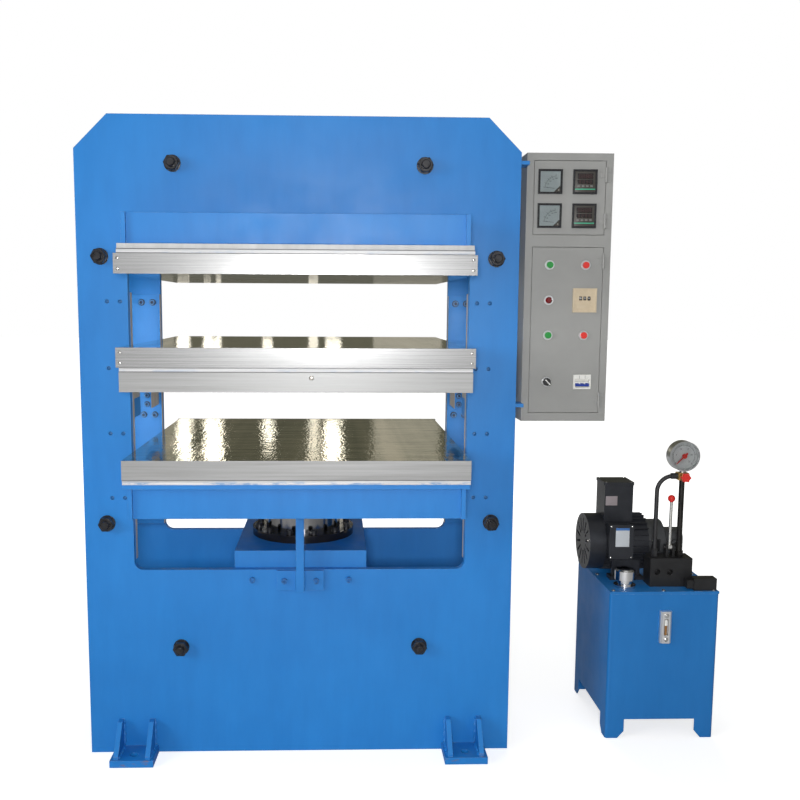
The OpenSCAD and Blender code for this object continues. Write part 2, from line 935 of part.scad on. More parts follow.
// Two rows of contactors above a rail of terminals
module control_gear() {
  terminals = 12;
  terminal_w = 13.5;
  pitch = 15;
  gear_inset = 34;
  rail_rise = 124;
  upper_rise = 470;
  lower_rise = 330;
  left = cab_x + gear_inset;
  rail_z = cab_z + rail_rise;
  rail_h = 6;
  rail_d = 12;
  terminal_h = 40;
  upper_row = cab_z + upper_rise;
  lower_row = cab_z + lower_rise;
  upper_pitch = 66;
  lower_pitch = 100;
  lower_start = 20;
  color("dimgray") {
    for (k = [0 : 2]) contactor(left + upper_pitch * k, upper_row);
    for (k = [0 : 1]) contactor(left + lower_start + lower_pitch * k, lower_row);
    for (k = [0 : terminals - 1], x = [left + pitch * k])
      block([x, gear_y - terminal_h, rail_z + rail_h],
            [x + terminal_w, gear_y, rail_z + rail_h + terminal_h]);
    block([left, gear_y - rail_d, rail_z], [left + pitch * terminals, gear_y, rail_z + rail_h]);
  }
}

// Heights of the hinges on one door
function hinge_zs(z0, z1) = [z0 + hinge_inset, z1 - hinge_inset - 3 * knuckle_l];

// A hinge knuckle with its leaf to the right (side 1) or to the left (side -1)
module knuckle(z, h, side) {
  difference() {
    union() {
      translate([hinge_x, hinge_y, z]) cylinder(r = hinge_r, h = h);
      block([hinge_x + min(0, side * leaf_l), cab_y - leaf_t, z],
            [hinge_x + max(0, side * leaf_l), cab_y, z + h]);
    }
    translate([hinge_x, hinge_y, z - 1]) cylinder(r = pin_r + running_fit, h = h + 2);
  }
}

module cabinet_hinges() {
  color(steel)
    for (z = concat(hinge_zs(upper_door_z0, upper_door_z1), hinge_zs(lower_door_z0, lower_door_z1))) {
      knuckle(z, knuckle_l, 1);
      knuckle(z + 2 * knuckle_l, knuckle_l, 1);
      translate([hinge_x, hinge_y, z]) cylinder(r = pin_r, h = 3 * knuckle_l);
    }
}

// A pan-shaped sheet door with its hinge leaves
module pan_door(z0, z1) {
  x0 = door_x0 + door_gap;
  x1 = door_x1 - door_gap;
  difference() {
    block([x0, cab_y, z0 + door_gap], [x1, cab_y + door_lip, z1 - door_gap]);
    block([x0 + cab_t, cab_y + cab_t, z0 + door_gap + cab_t],
          [x1 - cab_t, cab_y + door_lip + 1, z1 - door_gap - cab_t]);
  }
  for (z = hinge_zs(z0, z1))
    knuckle(z + knuckle_l + knuckle_gap, knuckle_l - 2 * knuckle_gap, -1);
}

function inst_points() = [
  for (c = [0, 1], r = [0, 1]) [inst_x0 + c * inst_column, inst_z0 + r * inst_row]
];

module upper_door() {
  color(grey)
    difference() {
      pan_door(upper_door_z0, upper_door_z1);
      for (p = inst_points())
        block([p[0] - inst_cut / 2 - hole_fit, cab_y - 1, p[1] - inst_cut / 2 - hole_fit],
              [p[0] + inst_cut / 2 + hole_fit, cab_y + cab_t + 1, p[1] + inst_cut / 2 + hole_fit]);
    }
}

// A panel instrument: a bezel with a sunk face, and a body behind the door
module instrument(x, z, w, cut, depth) {
  rim = 5;
  sink = 2.5;
  difference() {
    block([x - w / 2, cab_y - bezel_t, z - w / 2], [x + w / 2, cab_y, z + w / 2]);
    block([x - w / 2 + rim, cab_y - bezel_t - 1, z - w / 2 + rim],
          [x + w / 2 - rim, cab_y - bezel_t + sink, z + w / 2 - rim]);
  }
  block([x - cut / 2, cab_y - 1, z - cut / 2], [x + cut / 2, cab_y + depth, z + cut / 2]);
}

module panel_instruments() {
  color(black)
    for (p = inst_points()) instrument(p[0], p[1], inst_w, inst_cut, inst_depth);
}

// Places of the round controls, and the timer and breaker
function round_points() = [
  [ctrl_x0, row_1], [ctrl_x1, row_1], [ctrl_x0, row_2],
  [ctrl_x0, row_3], [ctrl_x1, row_3], [ctrl_x0, row_4]
];
timer_w = 74;
timer_cut = 66;
timer_depth = 70;

module lower_door() {
  color(grey)
    difference() {
      pan_door(lower_door_z0, lower_door_z1);
      for (p = round_points())
        rod_y(p[0], cab_y - 1, p[1], hole_r + hole_fit, cab_t + 2);
      block([ctrl_x1 - timer_cut / 2 - hole_fit, cab_y - 1, row_2 - timer_cut / 2 - hole_fit],
            [ctrl_x1 + timer_cut / 2 + hole_fit, cab_y + cab_t + 1, row_2 + timer_cut / 2 + hole_fit]);
      block([ctrl_x1 - breaker_w / 2 - hole_fit, cab_y - 1, row_4 - breaker_h / 2 - hole_fit],
            [ctrl_x1 + breaker_w / 2 + hole_fit, cab_y + cab_t + 1, row_4 + breaker_h / 2 + hole_fit]);
    }
}

// Threaded collars with a contact block behind, bored for a cap and its stem
module button_bezels() {
  cap_room = button_travel + cap_depth + 1;
  stem_room = cap_room + button_travel + thread_l + 1;
  color(silver)
    for (p = round_points())
      difference() {
        union() {
          rod_y(p[0], cab_y - bezel_h, p[1], bezel_r, bezel_h);
          rod_y(p[0], cab_y - 1, p[1], hole_r, thread_l + 1);
          block([p[0] - contact_w / 2, cab_y + contact_y, p[1] - contact_w / 2],
                [p[0] + contact_w / 2, cab_y + contact_d, p[1] + contact_w / 2]);
        }
        rod_y(p[0], cab_y - bezel_h - 1, p[1], cap_r + free_gap, cap_room + 1);
        rod_y(p[0], cab_y - bezel_h, p[1], stem_r + free_gap, stem_room);
      }
}

// A button's cap and stem, in its rest place
module button(p) {
  seat = cab_y - bezel_h;
  rod_y(p[0], seat - cap_proud, p[1], cap_r, cap_proud + cap_depth);
  rod_y(p[0], seat + cap_depth - 1, p[1], stem_r, stem_l);
}

module pump_start_button() {
  color(green) button([ctrl_x0, row_1]);
}

module pump_stop_button() {
  color(red) button([ctrl_x1, row_1]);
}

module press_up_button() {
  color(green) button([ctrl_x0, row_3]);
}

module press_down_button() {
  color(red) button([ctrl_x1, row_3]);
}

// A domed lens
module indicator_lamp() {
  rim = 2;
  dome = 5;
  crown = 4;
  seat = cab_y - bezel_h;
  lens_l = rim + button_travel + cap_depth + 1;
  color(red) {
    rod_y(ctrl_x0, seat - rim, row_2, cap_r, lens_l);
    translate([ctrl_x0, seat - rim, row_2]) rotate([90, 0, 0])
      cylinder(r1 = cap_r, r2 = cap_r - crown, h = dome);
    rod_y(ctrl_x0, seat + cap_depth - 1, row_2, stem_r, stem_l);
  }
}

module timer() {
  color("tan") instrument(ctrl_x1, row_2, timer_w, timer_cut, timer_depth);
}

// A round knob with a grip across it, turned to its left-hand place
module selector_knob() {
  seat = cab_y - bezel_h;
  skirt = 6;
  skirt_r = bezel_r - 2;
  stem = 18;
  grip_w = 7;
  grip_h = 12;
  left_turn = -45;
  color(black) {
    rod_y(ctrl_x0, seat - free_gap - skirt, row_4, skirt_r, skirt);
    rod_y(ctrl_x0, seat - free_gap - 1, row_4, stem_r, stem);
    translate([ctrl_x0, 0, row_4]) rotate([0, left_turn, 0])
      block([-grip_w / 2, seat - skirt - grip_h, -skirt_r], [grip_w / 2, seat - skirt, skirt_r]);
  }
}

// A three-pole breaker whose nose stands through the door
module circuit_breaker() {
  well_h = 26;
  well_back = 2;
  nose_l = 12;
  pin_seat = 1;
  half = breaker_w / 2;
  color("whitesmoke")
    difference() {
      union() {
        block([ctrl_x1 - half, cab_y - breaker_nose, row_4 - breaker_h / 2],
              [ctrl_x1 + half, cab_y + nose_l, row_4 + breaker_h / 2]);
        block([ctrl_x1 - half, cab_y + contact_y, row_4 - breaker_body_h / 2],
              [ctrl_x1 + half, cab_y + breaker_body_d, row_4 + breaker_body_h / 2]);
      }
      block([ctrl_x1 - breaker_well_w / 2, cab_y - breaker_nose - 1, toggle_z - well_h / 2],
            [ctrl_x1 + breaker_well_w / 2, toggle_y + toggle_r + well_back, toggle_z + well_h / 2]);
      rod_x(ctrl_x1 - half + pin_seat, toggle_y, toggle_z, toggle_pin_r + running_fit,
            breaker_w - 2 * pin_seat);
    }
}

// Three linked toggles on one pivot
module breaker_toggle() {
  fin_pitch = 16;
  fin_w = 10;
  fin_t = 6;
  fin_l = 15;
  tie_bar = 4;
  tilt = 28;
  barrel = breaker_well_w - 2;
  pin = breaker_w - 4;
  color("royalblue") {
    rod_x(ctrl_x1 - barrel / 2, toggle_y, toggle_z, toggle_r, barrel);
    rod_x(ctrl_x1 - pin / 2, toggle_y, toggle_z, toggle_pin_r, pin);
    translate([ctrl_x1, toggle_y, toggle_z]) rotate([tilt, 0, 0]) {
      for (x = [-fin_pitch, 0, fin_pitch])
        block([x - fin_w / 2, -fin_l, -fin_t / 2], [x + fin_w / 2, 0, fin_t / 2]);
      block([-fin_pitch - fin_w / 2, -fin_l, -fin_t / 2],
            [fin_pitch + fin_w / 2, tie_bar - fin_l, fin_t / 2]);
    }
  }
}

// A cut-out with splayed corners between the tank's legs
module leg_cut(l) {
  leg = 62;
  splay = 22;
  knee = 24;
  polygon([
    [leg - splay, -1], [leg, knee], [leg, tank_leg], [l - leg, tank_leg],
    [l - leg, knee], [l - leg + splay, -1]
  ]);
}

// The bent sheet's outline, a wall's share in from the outside
module tank_outline(inset) {
  round_rect(tank_x + inset, tank_y + inset, tank_x + tank_w - inset, tank_y + tank_d - inset,
             tank_r - inset);
}

module tank() {
  top = tank_h - lid_t;
  color(blue)
    difference() {
      linear_extrude(top) tank_outline(0);
      translate([0, 0, tank_leg + tank_t]) linear_extrude(top) tank_outline(tank_t);
      translate([0, 0, -1]) linear_extrude(tank_leg + 1) tank_outline(tank_t);
      translate([tank_x, 0, 0]) along_y(tank_y - 1, tank_y + tank_d + 1) leg_cut(tank_w);
      translate([0, tank_y, 0]) along_x(tank_x - 1, tank_x + tank_w + 1) leg_cut(tank_d);
    }
}

module tank_lid() {
  color(blue)
    block([tank_x, tank_y, tank_h - lid_t], [tank_x + tank_w, tank_y + tank_d, tank_h]);
}

// A sight glass in an aluminium body
module level_gauge() {
  w = 37;
  h = 107;
  t = 18;
  bevel = 6;
  slot_w = 14;
  slot_h = 56;
  slot_d = 8;
  off_centre = 3;
  drop = 115;
  x = tank_x + tank_w / 2 + off_centre;
  z = tank_h - drop;
  front = tank_y - t;
  color(silver)
    difference() {
      translate([0, 0, z]) linear_extrude(h, center = true)
        polygon([
          [x - w / 2, tank_y], [x - w / 2, front + bevel], [x - w / 2 + bevel, front],
          [x + w / 2 - bevel, front], [x + w / 2, front + bevel], [x + w / 2, tank_y]
        ]);
      block([x - slot_w / 2, front - 1, z - slot_h / 2], [x + slot_w / 2, front + slot_d, z + slot_h / 2]);
    }
}

// A flanged neck with a breather cap
module filler_cap() {
  flange_r = 36;
  flange_t = 8;
  neck_r = 24;
  neck_h = 26;
  breather_r = 34;
  breather_h = 30;
  crown_r = 28;
  crown_h = 5;
  color(steel)
    translate([cap_x, cap_y, tank_h])
      rotate_extrude()
        polygon([
          [0, 0], [flange_r, 0], [flange_r, flange_t], [neck_r, flange_t], [neck_r, neck_h],
          [breather_r, neck_h], [breather_r, neck_h + breather_h],
          [crown_r, neck_h + breather_h + crown_h], [0, neck_h + breather_h + crown_h]
        ]);
}

// A box with a wider lid on its end, along +Z from its base
module lidded_box(w, d, h) {
  lid_h = 10;
  lid_over = 3;
  translate([-w / 2, -d / 2, 0]) cube([w, d, h - lid_h + 1]);
  translate([0, 0, h - lid_h]) linear_extrude(lid_h)
    round_rect(-w / 2 - lid_over, -d / 2 - lid_over, w / 2 + lid_over, d / 2 + lid_over, lid_over + 2);
}

// A finned motor body with feet and a bore, a terminal box on top and a switch box at the front
module pump_motor() {
  fins = 28;
  fin_h = 9;
  fin_t = 3;
  core_r = motor_d / 2 - fin_h;
  flange_t = 12;
  foot_side = 18;
  foot_inset = [14, 20];
  foot_w = 44;
  foot_t = 12;
  foot_y = motor_d / 2 - foot_side;
  foot_x0 = motor_x1 + foot_inset[0];
  foot_x1 = bell_x - foot_inset[1];
  web_w = 18;
  web_inset = 10;
  seat_depth = 14;
  terminal_size = [98, 98, 140];
  terminal_set = 50;
  switch_size = [76, 112, 52];
  switch_set = 40;
  switch_rise = 26;
  color(black)
    difference() {
      union() {
        translate([0, motor_y, motor_z]) along_x(motor_x1, bell_x) {
          circle(r = core_r);
          for (k = [0 : fins - 1])
            rotate(360 / fins * k) translate([0, -fin_t / 2]) square([motor_d / 2, fin_t]);
        }
        rod_x(bell_x - flange_t, motor_y, motor_z, bell_d / 2, flange_t);
        for (side = [-1, 1], y = [motor_y + side * foot_y]) {
          block([foot_x0, y - foot_w / 2, tank_h], [foot_x1, y + foot_w / 2, tank_h + foot_t]);
          block([foot_x0 + web_inset, y - web_w / 2, tank_h + foot_t - 1],
                [foot_x1 - web_inset, y + web_w / 2, motor_z - core_r / 2]);
        }
        translate([motor_x1 + terminal_set, motor_y, motor_z + core_r - seat_depth])
          lidded_box(terminal_size[0], terminal_size[1], terminal_size[2]);
        translate([motor_x1 + switch_set, motor_y - core_r + seat_depth, motor_z + switch_rise])
          rotate([90, 0, 0]) lidded_box(switch_size[0], switch_size[1], switch_size[2]);
      }
      rod_x(motor_x1 - 1, motor_y, motor_z, shaft_d / 2 + running_fit, motor_l + 2);
    }
}

// A thin cowl with a ring of air slots
module fan_cowl() {
  wall = 2;
  slots = 14;
  slot_w = 8;
  r = motor_d / 2 - 2;
  slot_from = 0.35 * r;
  slot_to = 0.85 * r;
  color(black)
    difference() {
      rod_x(motor_x, motor_y, motor_z, r, cowl_l);
      rod_x(motor_x + wall, motor_y, motor_z, r - wall, cowl_l);
      for (k = [0 : slots - 1])
        translate([motor_x - 1, motor_y, motor_z]) rotate([360 / slots * k, 0, 0])
          block([0, -slot_w / 2, slot_from], [wall + 2, slot_w / 2, slot_to]);
    }
}

// Motor and pump shaft with the cooling fan and the coupling
module drive_shaft() {
  fan_r = motor_d / 2 - 16;
  fan_inset = 14;
  fan_hub_wall = 10;
  fan_hub_l = 30;
  blades = 7;
  blade_t = 4;
  blade_w = 26;
  hub_gap = 8;
  shaft_inset = 10;
  pump_bite = 30;
  color(steel) {
    rod_x(motor_x + shaft_inset, motor_y, motor_z, shaft_d / 2, pump_x - motor_x - shaft_inset + pump_bite);
    rod_x(bell_x + hub_gap, motor_y, motor_z, coupling_d / 2, bell_l - bell_wall - 2 * hub_gap);
    rod_x(motor_x + fan_inset, motor_y, motor_z, shaft_d / 2 + fan_hub_wall, fan_hub_l);
    for (k = [0 : blades - 1])
      translate([motor_x + fan_inset, motor_y, motor_z]) rotate([360 / blades * k, 0, 0])
        block([0, -blade_t / 2, shaft_d / 2], [blade_w, blade_t / 2, fan_r]);
  }
}

// A short bell with a window on each side
module bell_housing() {
  window_near = 14;
  window_far = 18;
  window_half = 22;
  shaft_room = 2;
  color("dimgray")
    difference() {
      rod_x(bell_x, motor_y, motor_z, bell_d / 2, bell_l);
      rod_x(bell_x - 1, motor_y, motor_z, bell_d / 2 - bell_wall, bell_l - bell_wall + 1);
      rod_x(bell_x - 1, motor_y, motor_z, shaft_d / 2 + shaft_room, bell_l + 2);
      block([bell_x + window_near, motor_y - bell_d, motor_z - window_half],
            [bell_x + bell_l - window_far, motor_y + bell_d, motor_z + window_half]);
    }
}

// A flanged gear pump, longer below its shaft, with a suction boss at the front
module gear_pump() {
  half_w = 44;
  below = 58;
  above = 44;
  corner_r = 30;
  flange_t = 14;
  shaft_in = 40;
  boss_x = pump_x + 42;
  boss_r = 16;
  boss_l = 16;
  suction_r = 9;
  suction_l = 19;
  boss_y = motor_y - half_w - boss_l;
  color("dimgray")
    difference() {
      union() {
        rod_x(pump_x, motor_y, motor_z, half_w, flange_t);
        along_x(pump_x + flange_t - 1, pump_x + pump_l)
          round_rect(motor_y - half_w, motor_z - below, motor_y + half_w, motor_z + above, corner_r);
        rod_y(boss_x, boss_y, motor_z, boss_r, boss_l + 1);
      }
      rod_x(pump_x - 1, motor_y, motor_z, shaft_d / 2 + running_fit, shaft_in + 1);
      rod_y(boss_x, boss_y - 1, motor_z, suction_r, suction_l + 1);
    }
}

// The manifold with the lever valve's ears and the two hose ports
port_drop = 46;
port_inset = 24;
port_pitch = 42;
port_x = [valve_x + port_inset, valve_x + port_inset + port_pitch];

module valve_block() {
  hub_r = 11;
  port_hole_r = 10;
  port_length = 25;
  color(black)
    difference() {
      union() {
        block([valve_x, valve_y, tank_h], [valve_x + valve_w, valve_y + valve_d, valve_z]);
        for (side = [-1, 1], x = [lever_x + side * (lever_slot + lever_ear) / 2])
          along_x(x - lever_ear / 2, x + lever_ear / 2) {
            translate([lever_y, lever_z]) circle(r = hub_r);
            translate([lever_y - hub_r, valve_z - 1]) square([2 * hub_r, lever_z - valve_z + 1]);
          }
      }
      rod_x(lever_x - lever_slot - lever_ear, lever_y, lever_z, lever_pin_r + running_fit,
            2 * (lever_slot + lever_ear));
      for (x = port_x) rod_y(x, valve_y - 1, valve_z - port_drop, port_hole_r, port_length + 1);
    }
  color(black) relief_valve();
}

// A relief valve on the lid in front of the manifold, with a square cap at its left end
module relief_valve() {
  x1 = tank_x + tank_w - relief_inset[0];
  y0 = tank_y + relief_inset[1];
  cap_l = 22;
  cap_s = 28;
  block([x1 - relief_w + cap_l, y0, tank_h], [x1, y0 + relief_d, tank_h + relief_h]);
  translate([x1 - relief_w, y0 + relief_d / 2 - cap_s / 2, tank_h + relief_h / 2 - cap_s / 2])
    cube([cap_l + 1, cap_s, cap_s]);
}

// The lever turns on a pin through the valve's two ears
module valve_lever() {
  hub_r = 9;
  color(silver) {
    rod_x(lever_x - lever_slot / 2 - lever_ear, lever_y, lever_z, lever_pin_r,
          lever_slot + 2 * lever_ear);
    rod_x(lever_x - lever_slot / 2 + free_gap, lever_y, lever_z, hub_r, lever_slot - 2 * free_gap);
    translate([lever_x, lever_y, lever_z]) cylinder(r = lever_r, h = lever_l);
  }
  color(red) translate([lever_x, lever_y, lever_z + lever_l]) sphere(r = ball_r);
}

// A pipe from the manifold up to the gauge's shut-off valve
module gauge_stand() {
  union_wall = 6;
  union_h = 18;
  color("goldenrod")
    difference() {
      union() {
        translate([gauge_x, gauge_y, valve_z]) {
          cylinder(r = stand_r, h = tap_z + tap_h / 2 - valve_z);
          cylinder(r = stand_r + union_wall, h = union_h, $fn = 6);
        }
        block([gauge_x - tap_w / 2, gauge_y - tap_w / 2, tap_z],
              [gauge_x + tap_w / 2, gauge_y + tap_w / 2, tap_z + tap_h]);
      }
      rod_y(gauge_x, gauge_y - tap_w, tap_z + tap_h / 2, stem_r + running_fit, tap_w);
    }
}

// A dished case on a stem, with a dial face and a boss for the needle
gauge_rim = 5;
dial_depth = 12;
pin_depth = 10;

module gauge_case() {
  r = gauge_d / 2;
  front = gauge_y - gauge_t / 2;
  color(silver)
    difference() {
      union() {
        rod_y(gauge_x, front, gauge_z, r, gauge_t);
        translate([gauge_x, gauge_y, gauge_z - r - gauge_stem])
          cylinder(r = stand_r, h = gauge_stem + gauge_d / 10);
      }
      rod_y(gauge_x, front - 1, gauge_z, r - gauge_rim, dial_depth + 1);
      rod_y(gauge_x, front, gauge_z, needle_pin_r + running_fit, dial_depth + pin_depth);
    }
}

module gauge_needle() {
  front = gauge_y - gauge_t / 2;
  zero_turn = 135;
  tip_gap = 8;
  tip = gauge_d / 2 - gauge_rim - tip_gap;
  tail = -14;
  tail_half = 3;
  tip_half = 1;
  pin_from = 2;
  hub_from = 3;
  hub_r = 8;
  hub_t = 4;
  blade_from = 4;
  blade_t = 2;
  color(red) {
    rod_y(gauge_x, front + pin_from, gauge_z, needle_pin_r, dial_depth + pin_depth - 2 * pin_from);
    rod_y(gauge_x, front + hub_from, gauge_z, hub_r, hub_t);
    along_y(front + blade_from, front + blade_from + blade_t)
      translate([gauge_x, gauge_z]) rotate(zero_turn)
        polygon([[-tail_half, tail], [tail_half, tail], [tip_half, tip], [-tip_half, tip]]);
  }
}

module gauge_valve_knob() {
  lobes = 6;
  lobe_r = 4;
  lobe_at = 12;
  body_r = 13;
  body_t = 12;
  proud = 22;
  stem = 22;
  z = tap_z + tap_h / 2;
  y = gauge_y - tap_w / 2 - proud;
  color(red) {
    along_y(y, y + body_t) translate([gauge_x, z]) {
      circle(r = body_r);
      for (k = [0 : lobes - 1]) rotate(360 / lobes * k) translate([lobe_at, 0]) circle(r = lobe_r);
    }
    rod_y(gauge_x, y + body_t - 1, z, stem_r, stem);
  }
}

// A hose from the manifold up to the side of the gauge valve
module gauge_hose() {
  z1 = tap_z + tap_h / 2;
  x0 = gauge_x - tap_w / 2;
  nut_wall = 4;
  nut_l = 24;
  ferrule_wall = 3;
  ferrule_l = 20;
  color(black) {
    translate([hose_x, gauge_y, valve_z]) cylinder(r = hose_r, h = z1 - hose_bend - valve_z);
    translate([hose_x + hose_bend, gauge_y, z1 - hose_bend]) rotate([90, 0, 0])
      rotate([0, 0, 90]) rotate_extrude(angle = 90) translate([hose_bend, 0]) circle(r = hose_r);
    rod_x(hose_x + hose_bend, gauge_y, z1, hose_r, x0 - hose_x - hose_bend);
    translate([hose_x, gauge_y, valve_z]) cylinder(r = hose_r + nut_wall, h = nut_l, $fn = 6);
    rod_x(x0 - ferrule_l, gauge_y, z1, hose_r + ferrule_wall, ferrule_l);
  }
}

front_frame_plate();
rear_frame_plate();
tie_rods();
spacer_tubes();
cap_screws();
guide_bars();
ledge_blocks();
upper_beam();
upper_insulation();
upper_hot_plate();
upper_front_cover();
upper_heaters();
cylinder_block();
guide_bush();
plunger_seal();
gland_ring();
rest_posts();
moving_beam();
lower_insulation();
lower_hot_plate();
lower_heaters();
plunger();
middle_lower_plate();
middle_insulation();
middle_upper_plate();
middle_front_cover();
middle_heaters();
cabinet_shell();
mounting_plate();
control_gear();
cabinet_hinges();
upper_door();
panel_instruments();
lower_door();
button_bezels();
indicator_lamp();
pump_start_button();
pump_stop_button();
press_up_button();
press_down_button();
timer();
selector_knob();
circuit_breaker();
breaker_toggle();
tank();
tank_lid();
level_gauge();
filler_cap();
pump_motor();
fan_cowl();
drive_shaft();
bell_housing();
gear_pump();
valve_block();
valve_lever();
gauge_stand();
gauge_case();
gauge_needle();
gauge_valve_knob();
gauge_hose();
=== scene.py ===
"""Looks of the plate vulcanizing press: finishes, small fittings, light and camera. Sizes are metres."""
import json
from itertools import product
from math import cos, pi, radians, sin

import bmesh
import bpy
from mathutils import Matrix, Vector


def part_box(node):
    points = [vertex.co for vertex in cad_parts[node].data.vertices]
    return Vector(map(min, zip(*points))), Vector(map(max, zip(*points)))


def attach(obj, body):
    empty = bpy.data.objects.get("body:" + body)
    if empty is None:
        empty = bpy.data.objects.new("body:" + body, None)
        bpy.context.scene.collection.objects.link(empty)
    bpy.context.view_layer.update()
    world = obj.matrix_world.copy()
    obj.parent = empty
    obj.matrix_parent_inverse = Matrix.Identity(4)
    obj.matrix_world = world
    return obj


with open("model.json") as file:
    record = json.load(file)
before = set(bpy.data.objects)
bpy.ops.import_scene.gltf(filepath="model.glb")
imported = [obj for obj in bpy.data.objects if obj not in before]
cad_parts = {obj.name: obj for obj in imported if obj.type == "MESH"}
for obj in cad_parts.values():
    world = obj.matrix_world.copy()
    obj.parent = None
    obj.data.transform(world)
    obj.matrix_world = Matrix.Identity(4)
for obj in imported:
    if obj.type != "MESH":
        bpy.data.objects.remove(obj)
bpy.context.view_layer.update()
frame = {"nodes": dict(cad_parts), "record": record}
scene = bpy.context.scene
MM = 0.001
FRONT = Vector((0, -1, 0))
REAR = Vector((0, 1, 0))
UP = Vector((0, 0, 1))
X, Y, Z = range(3)
ENDS = (-1, 1)


def midpoint(low, high):
    """The point halfway between two corners."""
    return (low + high) / 2


def front_of(node):
    """The middle of a node's front, as x, y and z."""
    low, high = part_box(node)
    centre = midpoint(low, high)
    return centre.x, low.y, centre.z


# Materials

NOISE_RANGE = (0.3, 0.7)


def scaled(colour, factor, lift=0.0):
    """A lighter or darker colour."""
    return tuple(min(1.0, factor * c + lift) for c in colour)


class Graph:
    """A node tree, with short calls for the nodes that are used often."""

    def __init__(self, tree):
        self.tree = tree
        coordinates = self.node("TexCoord")
        self.place = coordinates.outputs["Object"]
        self.within = coordinates.outputs["Generated"]

    def node(self, kind, **inputs):
        """A new node with its inputs linked or set. An underscore stands for a space in an input's name."""
        node = self.tree.nodes.new("ShaderNode" + kind)
        for name, value in inputs.items():
            self.feed(node.inputs[name.replace("_", " ")], value)
        return node

    def feed(self, socket, value):
        """Links an output to a socket, or sets the socket to a plain value or a colour."""
        if isinstance(value, bpy.types.NodeSocket):
            self.tree.links.new(value, socket)
        elif socket.type == "RGBA":
            socket.default_value = (*value, 1.0)
        else:
            socket.default_value = value

    def noise(self, scale, detail=3.0, rough=0.6, stretch=(1, 1, 1), offset=0.0):
        """Cloudy noise, drawn out along the axes and moved aside by offset."""
        moved = self.node("Mapping", Vector=self.place, Scale=stretch, Location=(offset, offset, offset))
        place = moved.outputs["Vector"]
        return self.node("TexNoise", Vector=place, Scale=scale, Detail=detail, Roughness=rough).outputs[0]

    def spread(self, value, low, high, to_low=0.0, to_high=1.0):
        """Maps a range of values to another range, and holds the ends."""
        node = self.node("MapRange", Value=value, From_Min=low, From_Max=high, To_Min=to_low, To_Max=to_high)
        return node.outputs["Result"]

    def vary(self, noise, to_low=0.0, to_high=1.0):
        """Maps the usual range of a noise to another range."""
        return self.spread(noise, *NOISE_RANGE, to_low, to_high)

    def calc(self, operation, a, b=0.0):
        node = self.node("Math")
        node.operation = operation
        self.feed(node.inputs[0], a)
        self.feed(node.inputs[1], b)
        return node.outputs[0]

    def plus(self, a, b):
        return self.calc("ADD", a, b)

    def times(self, a, b):
        return self.calc("MULTIPLY", a, b)

    def mix(self, share, a, b):
        """A blend of two colours."""
        factor, first, second, result = 0, 6, 7, 2
        node = self.node("Mix")
        node.data_type = "RGBA"
        self.feed(node.inputs[factor], share)
        self.feed(node.inputs[first], a)
        self.feed(node.inputs[second], b)
        return node.outputs[result]

    def part(self, vector, axis):
        """The X, Y or Z of a vector."""
        node = self.node("SeparateXYZ")
        self.feed(node.inputs[0], vector)
        return node.outputs[axis]

    def along(self, axis):
        """How far along an axis a point is."""
        return self.part(self.place, axis)

    def away(self, first, second, middle=(0.0, 0.0)):
        """How far a point is from a line that is square to two axes and crosses them at middle."""
        squares = []
        for axis, centre in zip((first, second), middle):
            squares.append(self.calc("POWER", self.calc("SUBTRACT", self.along(axis), centre), 2.0))
        return self.calc("SQRT", self.plus(*squares))


class Shader(Graph):
    """A material's node tree."""

    def __init__(self, name, metallic=0.0):
        self.material = bpy.data.materials.new(name)
        self.material.use_nodes = True
        super().__init__(self.material.node_tree)
        self.bsdf = self.tree.nodes["Principled BSDF"]
        self.geometry = self.node("NewGeometry")
        self.set("Metallic", metallic)

    def set(self, name, value):
        self.feed(self.bsdf.inputs[name], value)

    def lean(self, axis):
        """How far a face looks along an axis, from -1 to 1."""
        return self.part(self.geometry.outputs["True Normal"], axis)

    def facing(self, axis):
        """1 on faces square to an axis, and 0 on the others."""
        return self.spread(self.calc("ABSOLUTE", self.lean(axis)), 0.7, 0.75)

    def soft_edges(self, radius):
        """Normals as if every sharp edge were slightly rounded, and a mask of those edges."""
        bevel = self.node("Bevel", Radius=radius)
        bevel.samples = 4
        dot = self.node("VectorMath")
        dot.operation = "DOT_PRODUCT"
        self.feed(dot.inputs[0], bevel.outputs["Normal"])
        self.feed(dot.inputs[1], self.geometry.outputs["Normal"])
        return bevel.outputs["Normal"], self.spread(dot.outputs["Value"], 0.995, 0.8)

    def finish(self, colour, rough, height=None, strength=0.0, depth=0.0, normal=None):
        """Sets the colour, the roughness and the relief, and returns the material."""
        self.set("Base Color", colour)
        self.set("Roughness", rough)
        if height is not None:
            bump = self.node("Bump", Height=height, Strength=strength, Distance=depth)
            if normal is not None:
                self.feed(bump.inputs["Normal"], normal)
            self.set("Normal", bump.outputs["Normal"])
        return self.material


BLUE_DEEP = (0.007, 0.155, 0.465)
BLUE_LIGHT = (0.012, 0.19, 0.54)
# Paler blue for the paint's edges: partly worn paint, partly a painted edge highlight.
EDGE_WEAR_AND_HIGHLIGHT = (0.3, 0.46, 0.68)
DUST = (0.12, 0.2, 0.3)
BARE_STEEL = (0.62, 0.57, 0.52)
BARE_STREAK = (0.34, 0.29, 0.25)
SILVER = (0.4, 0.4, 0.4)
SILVER_LIGHT = (0.52, 0.52, 0.52)
RUST = (0.2, 0.1, 0.05)


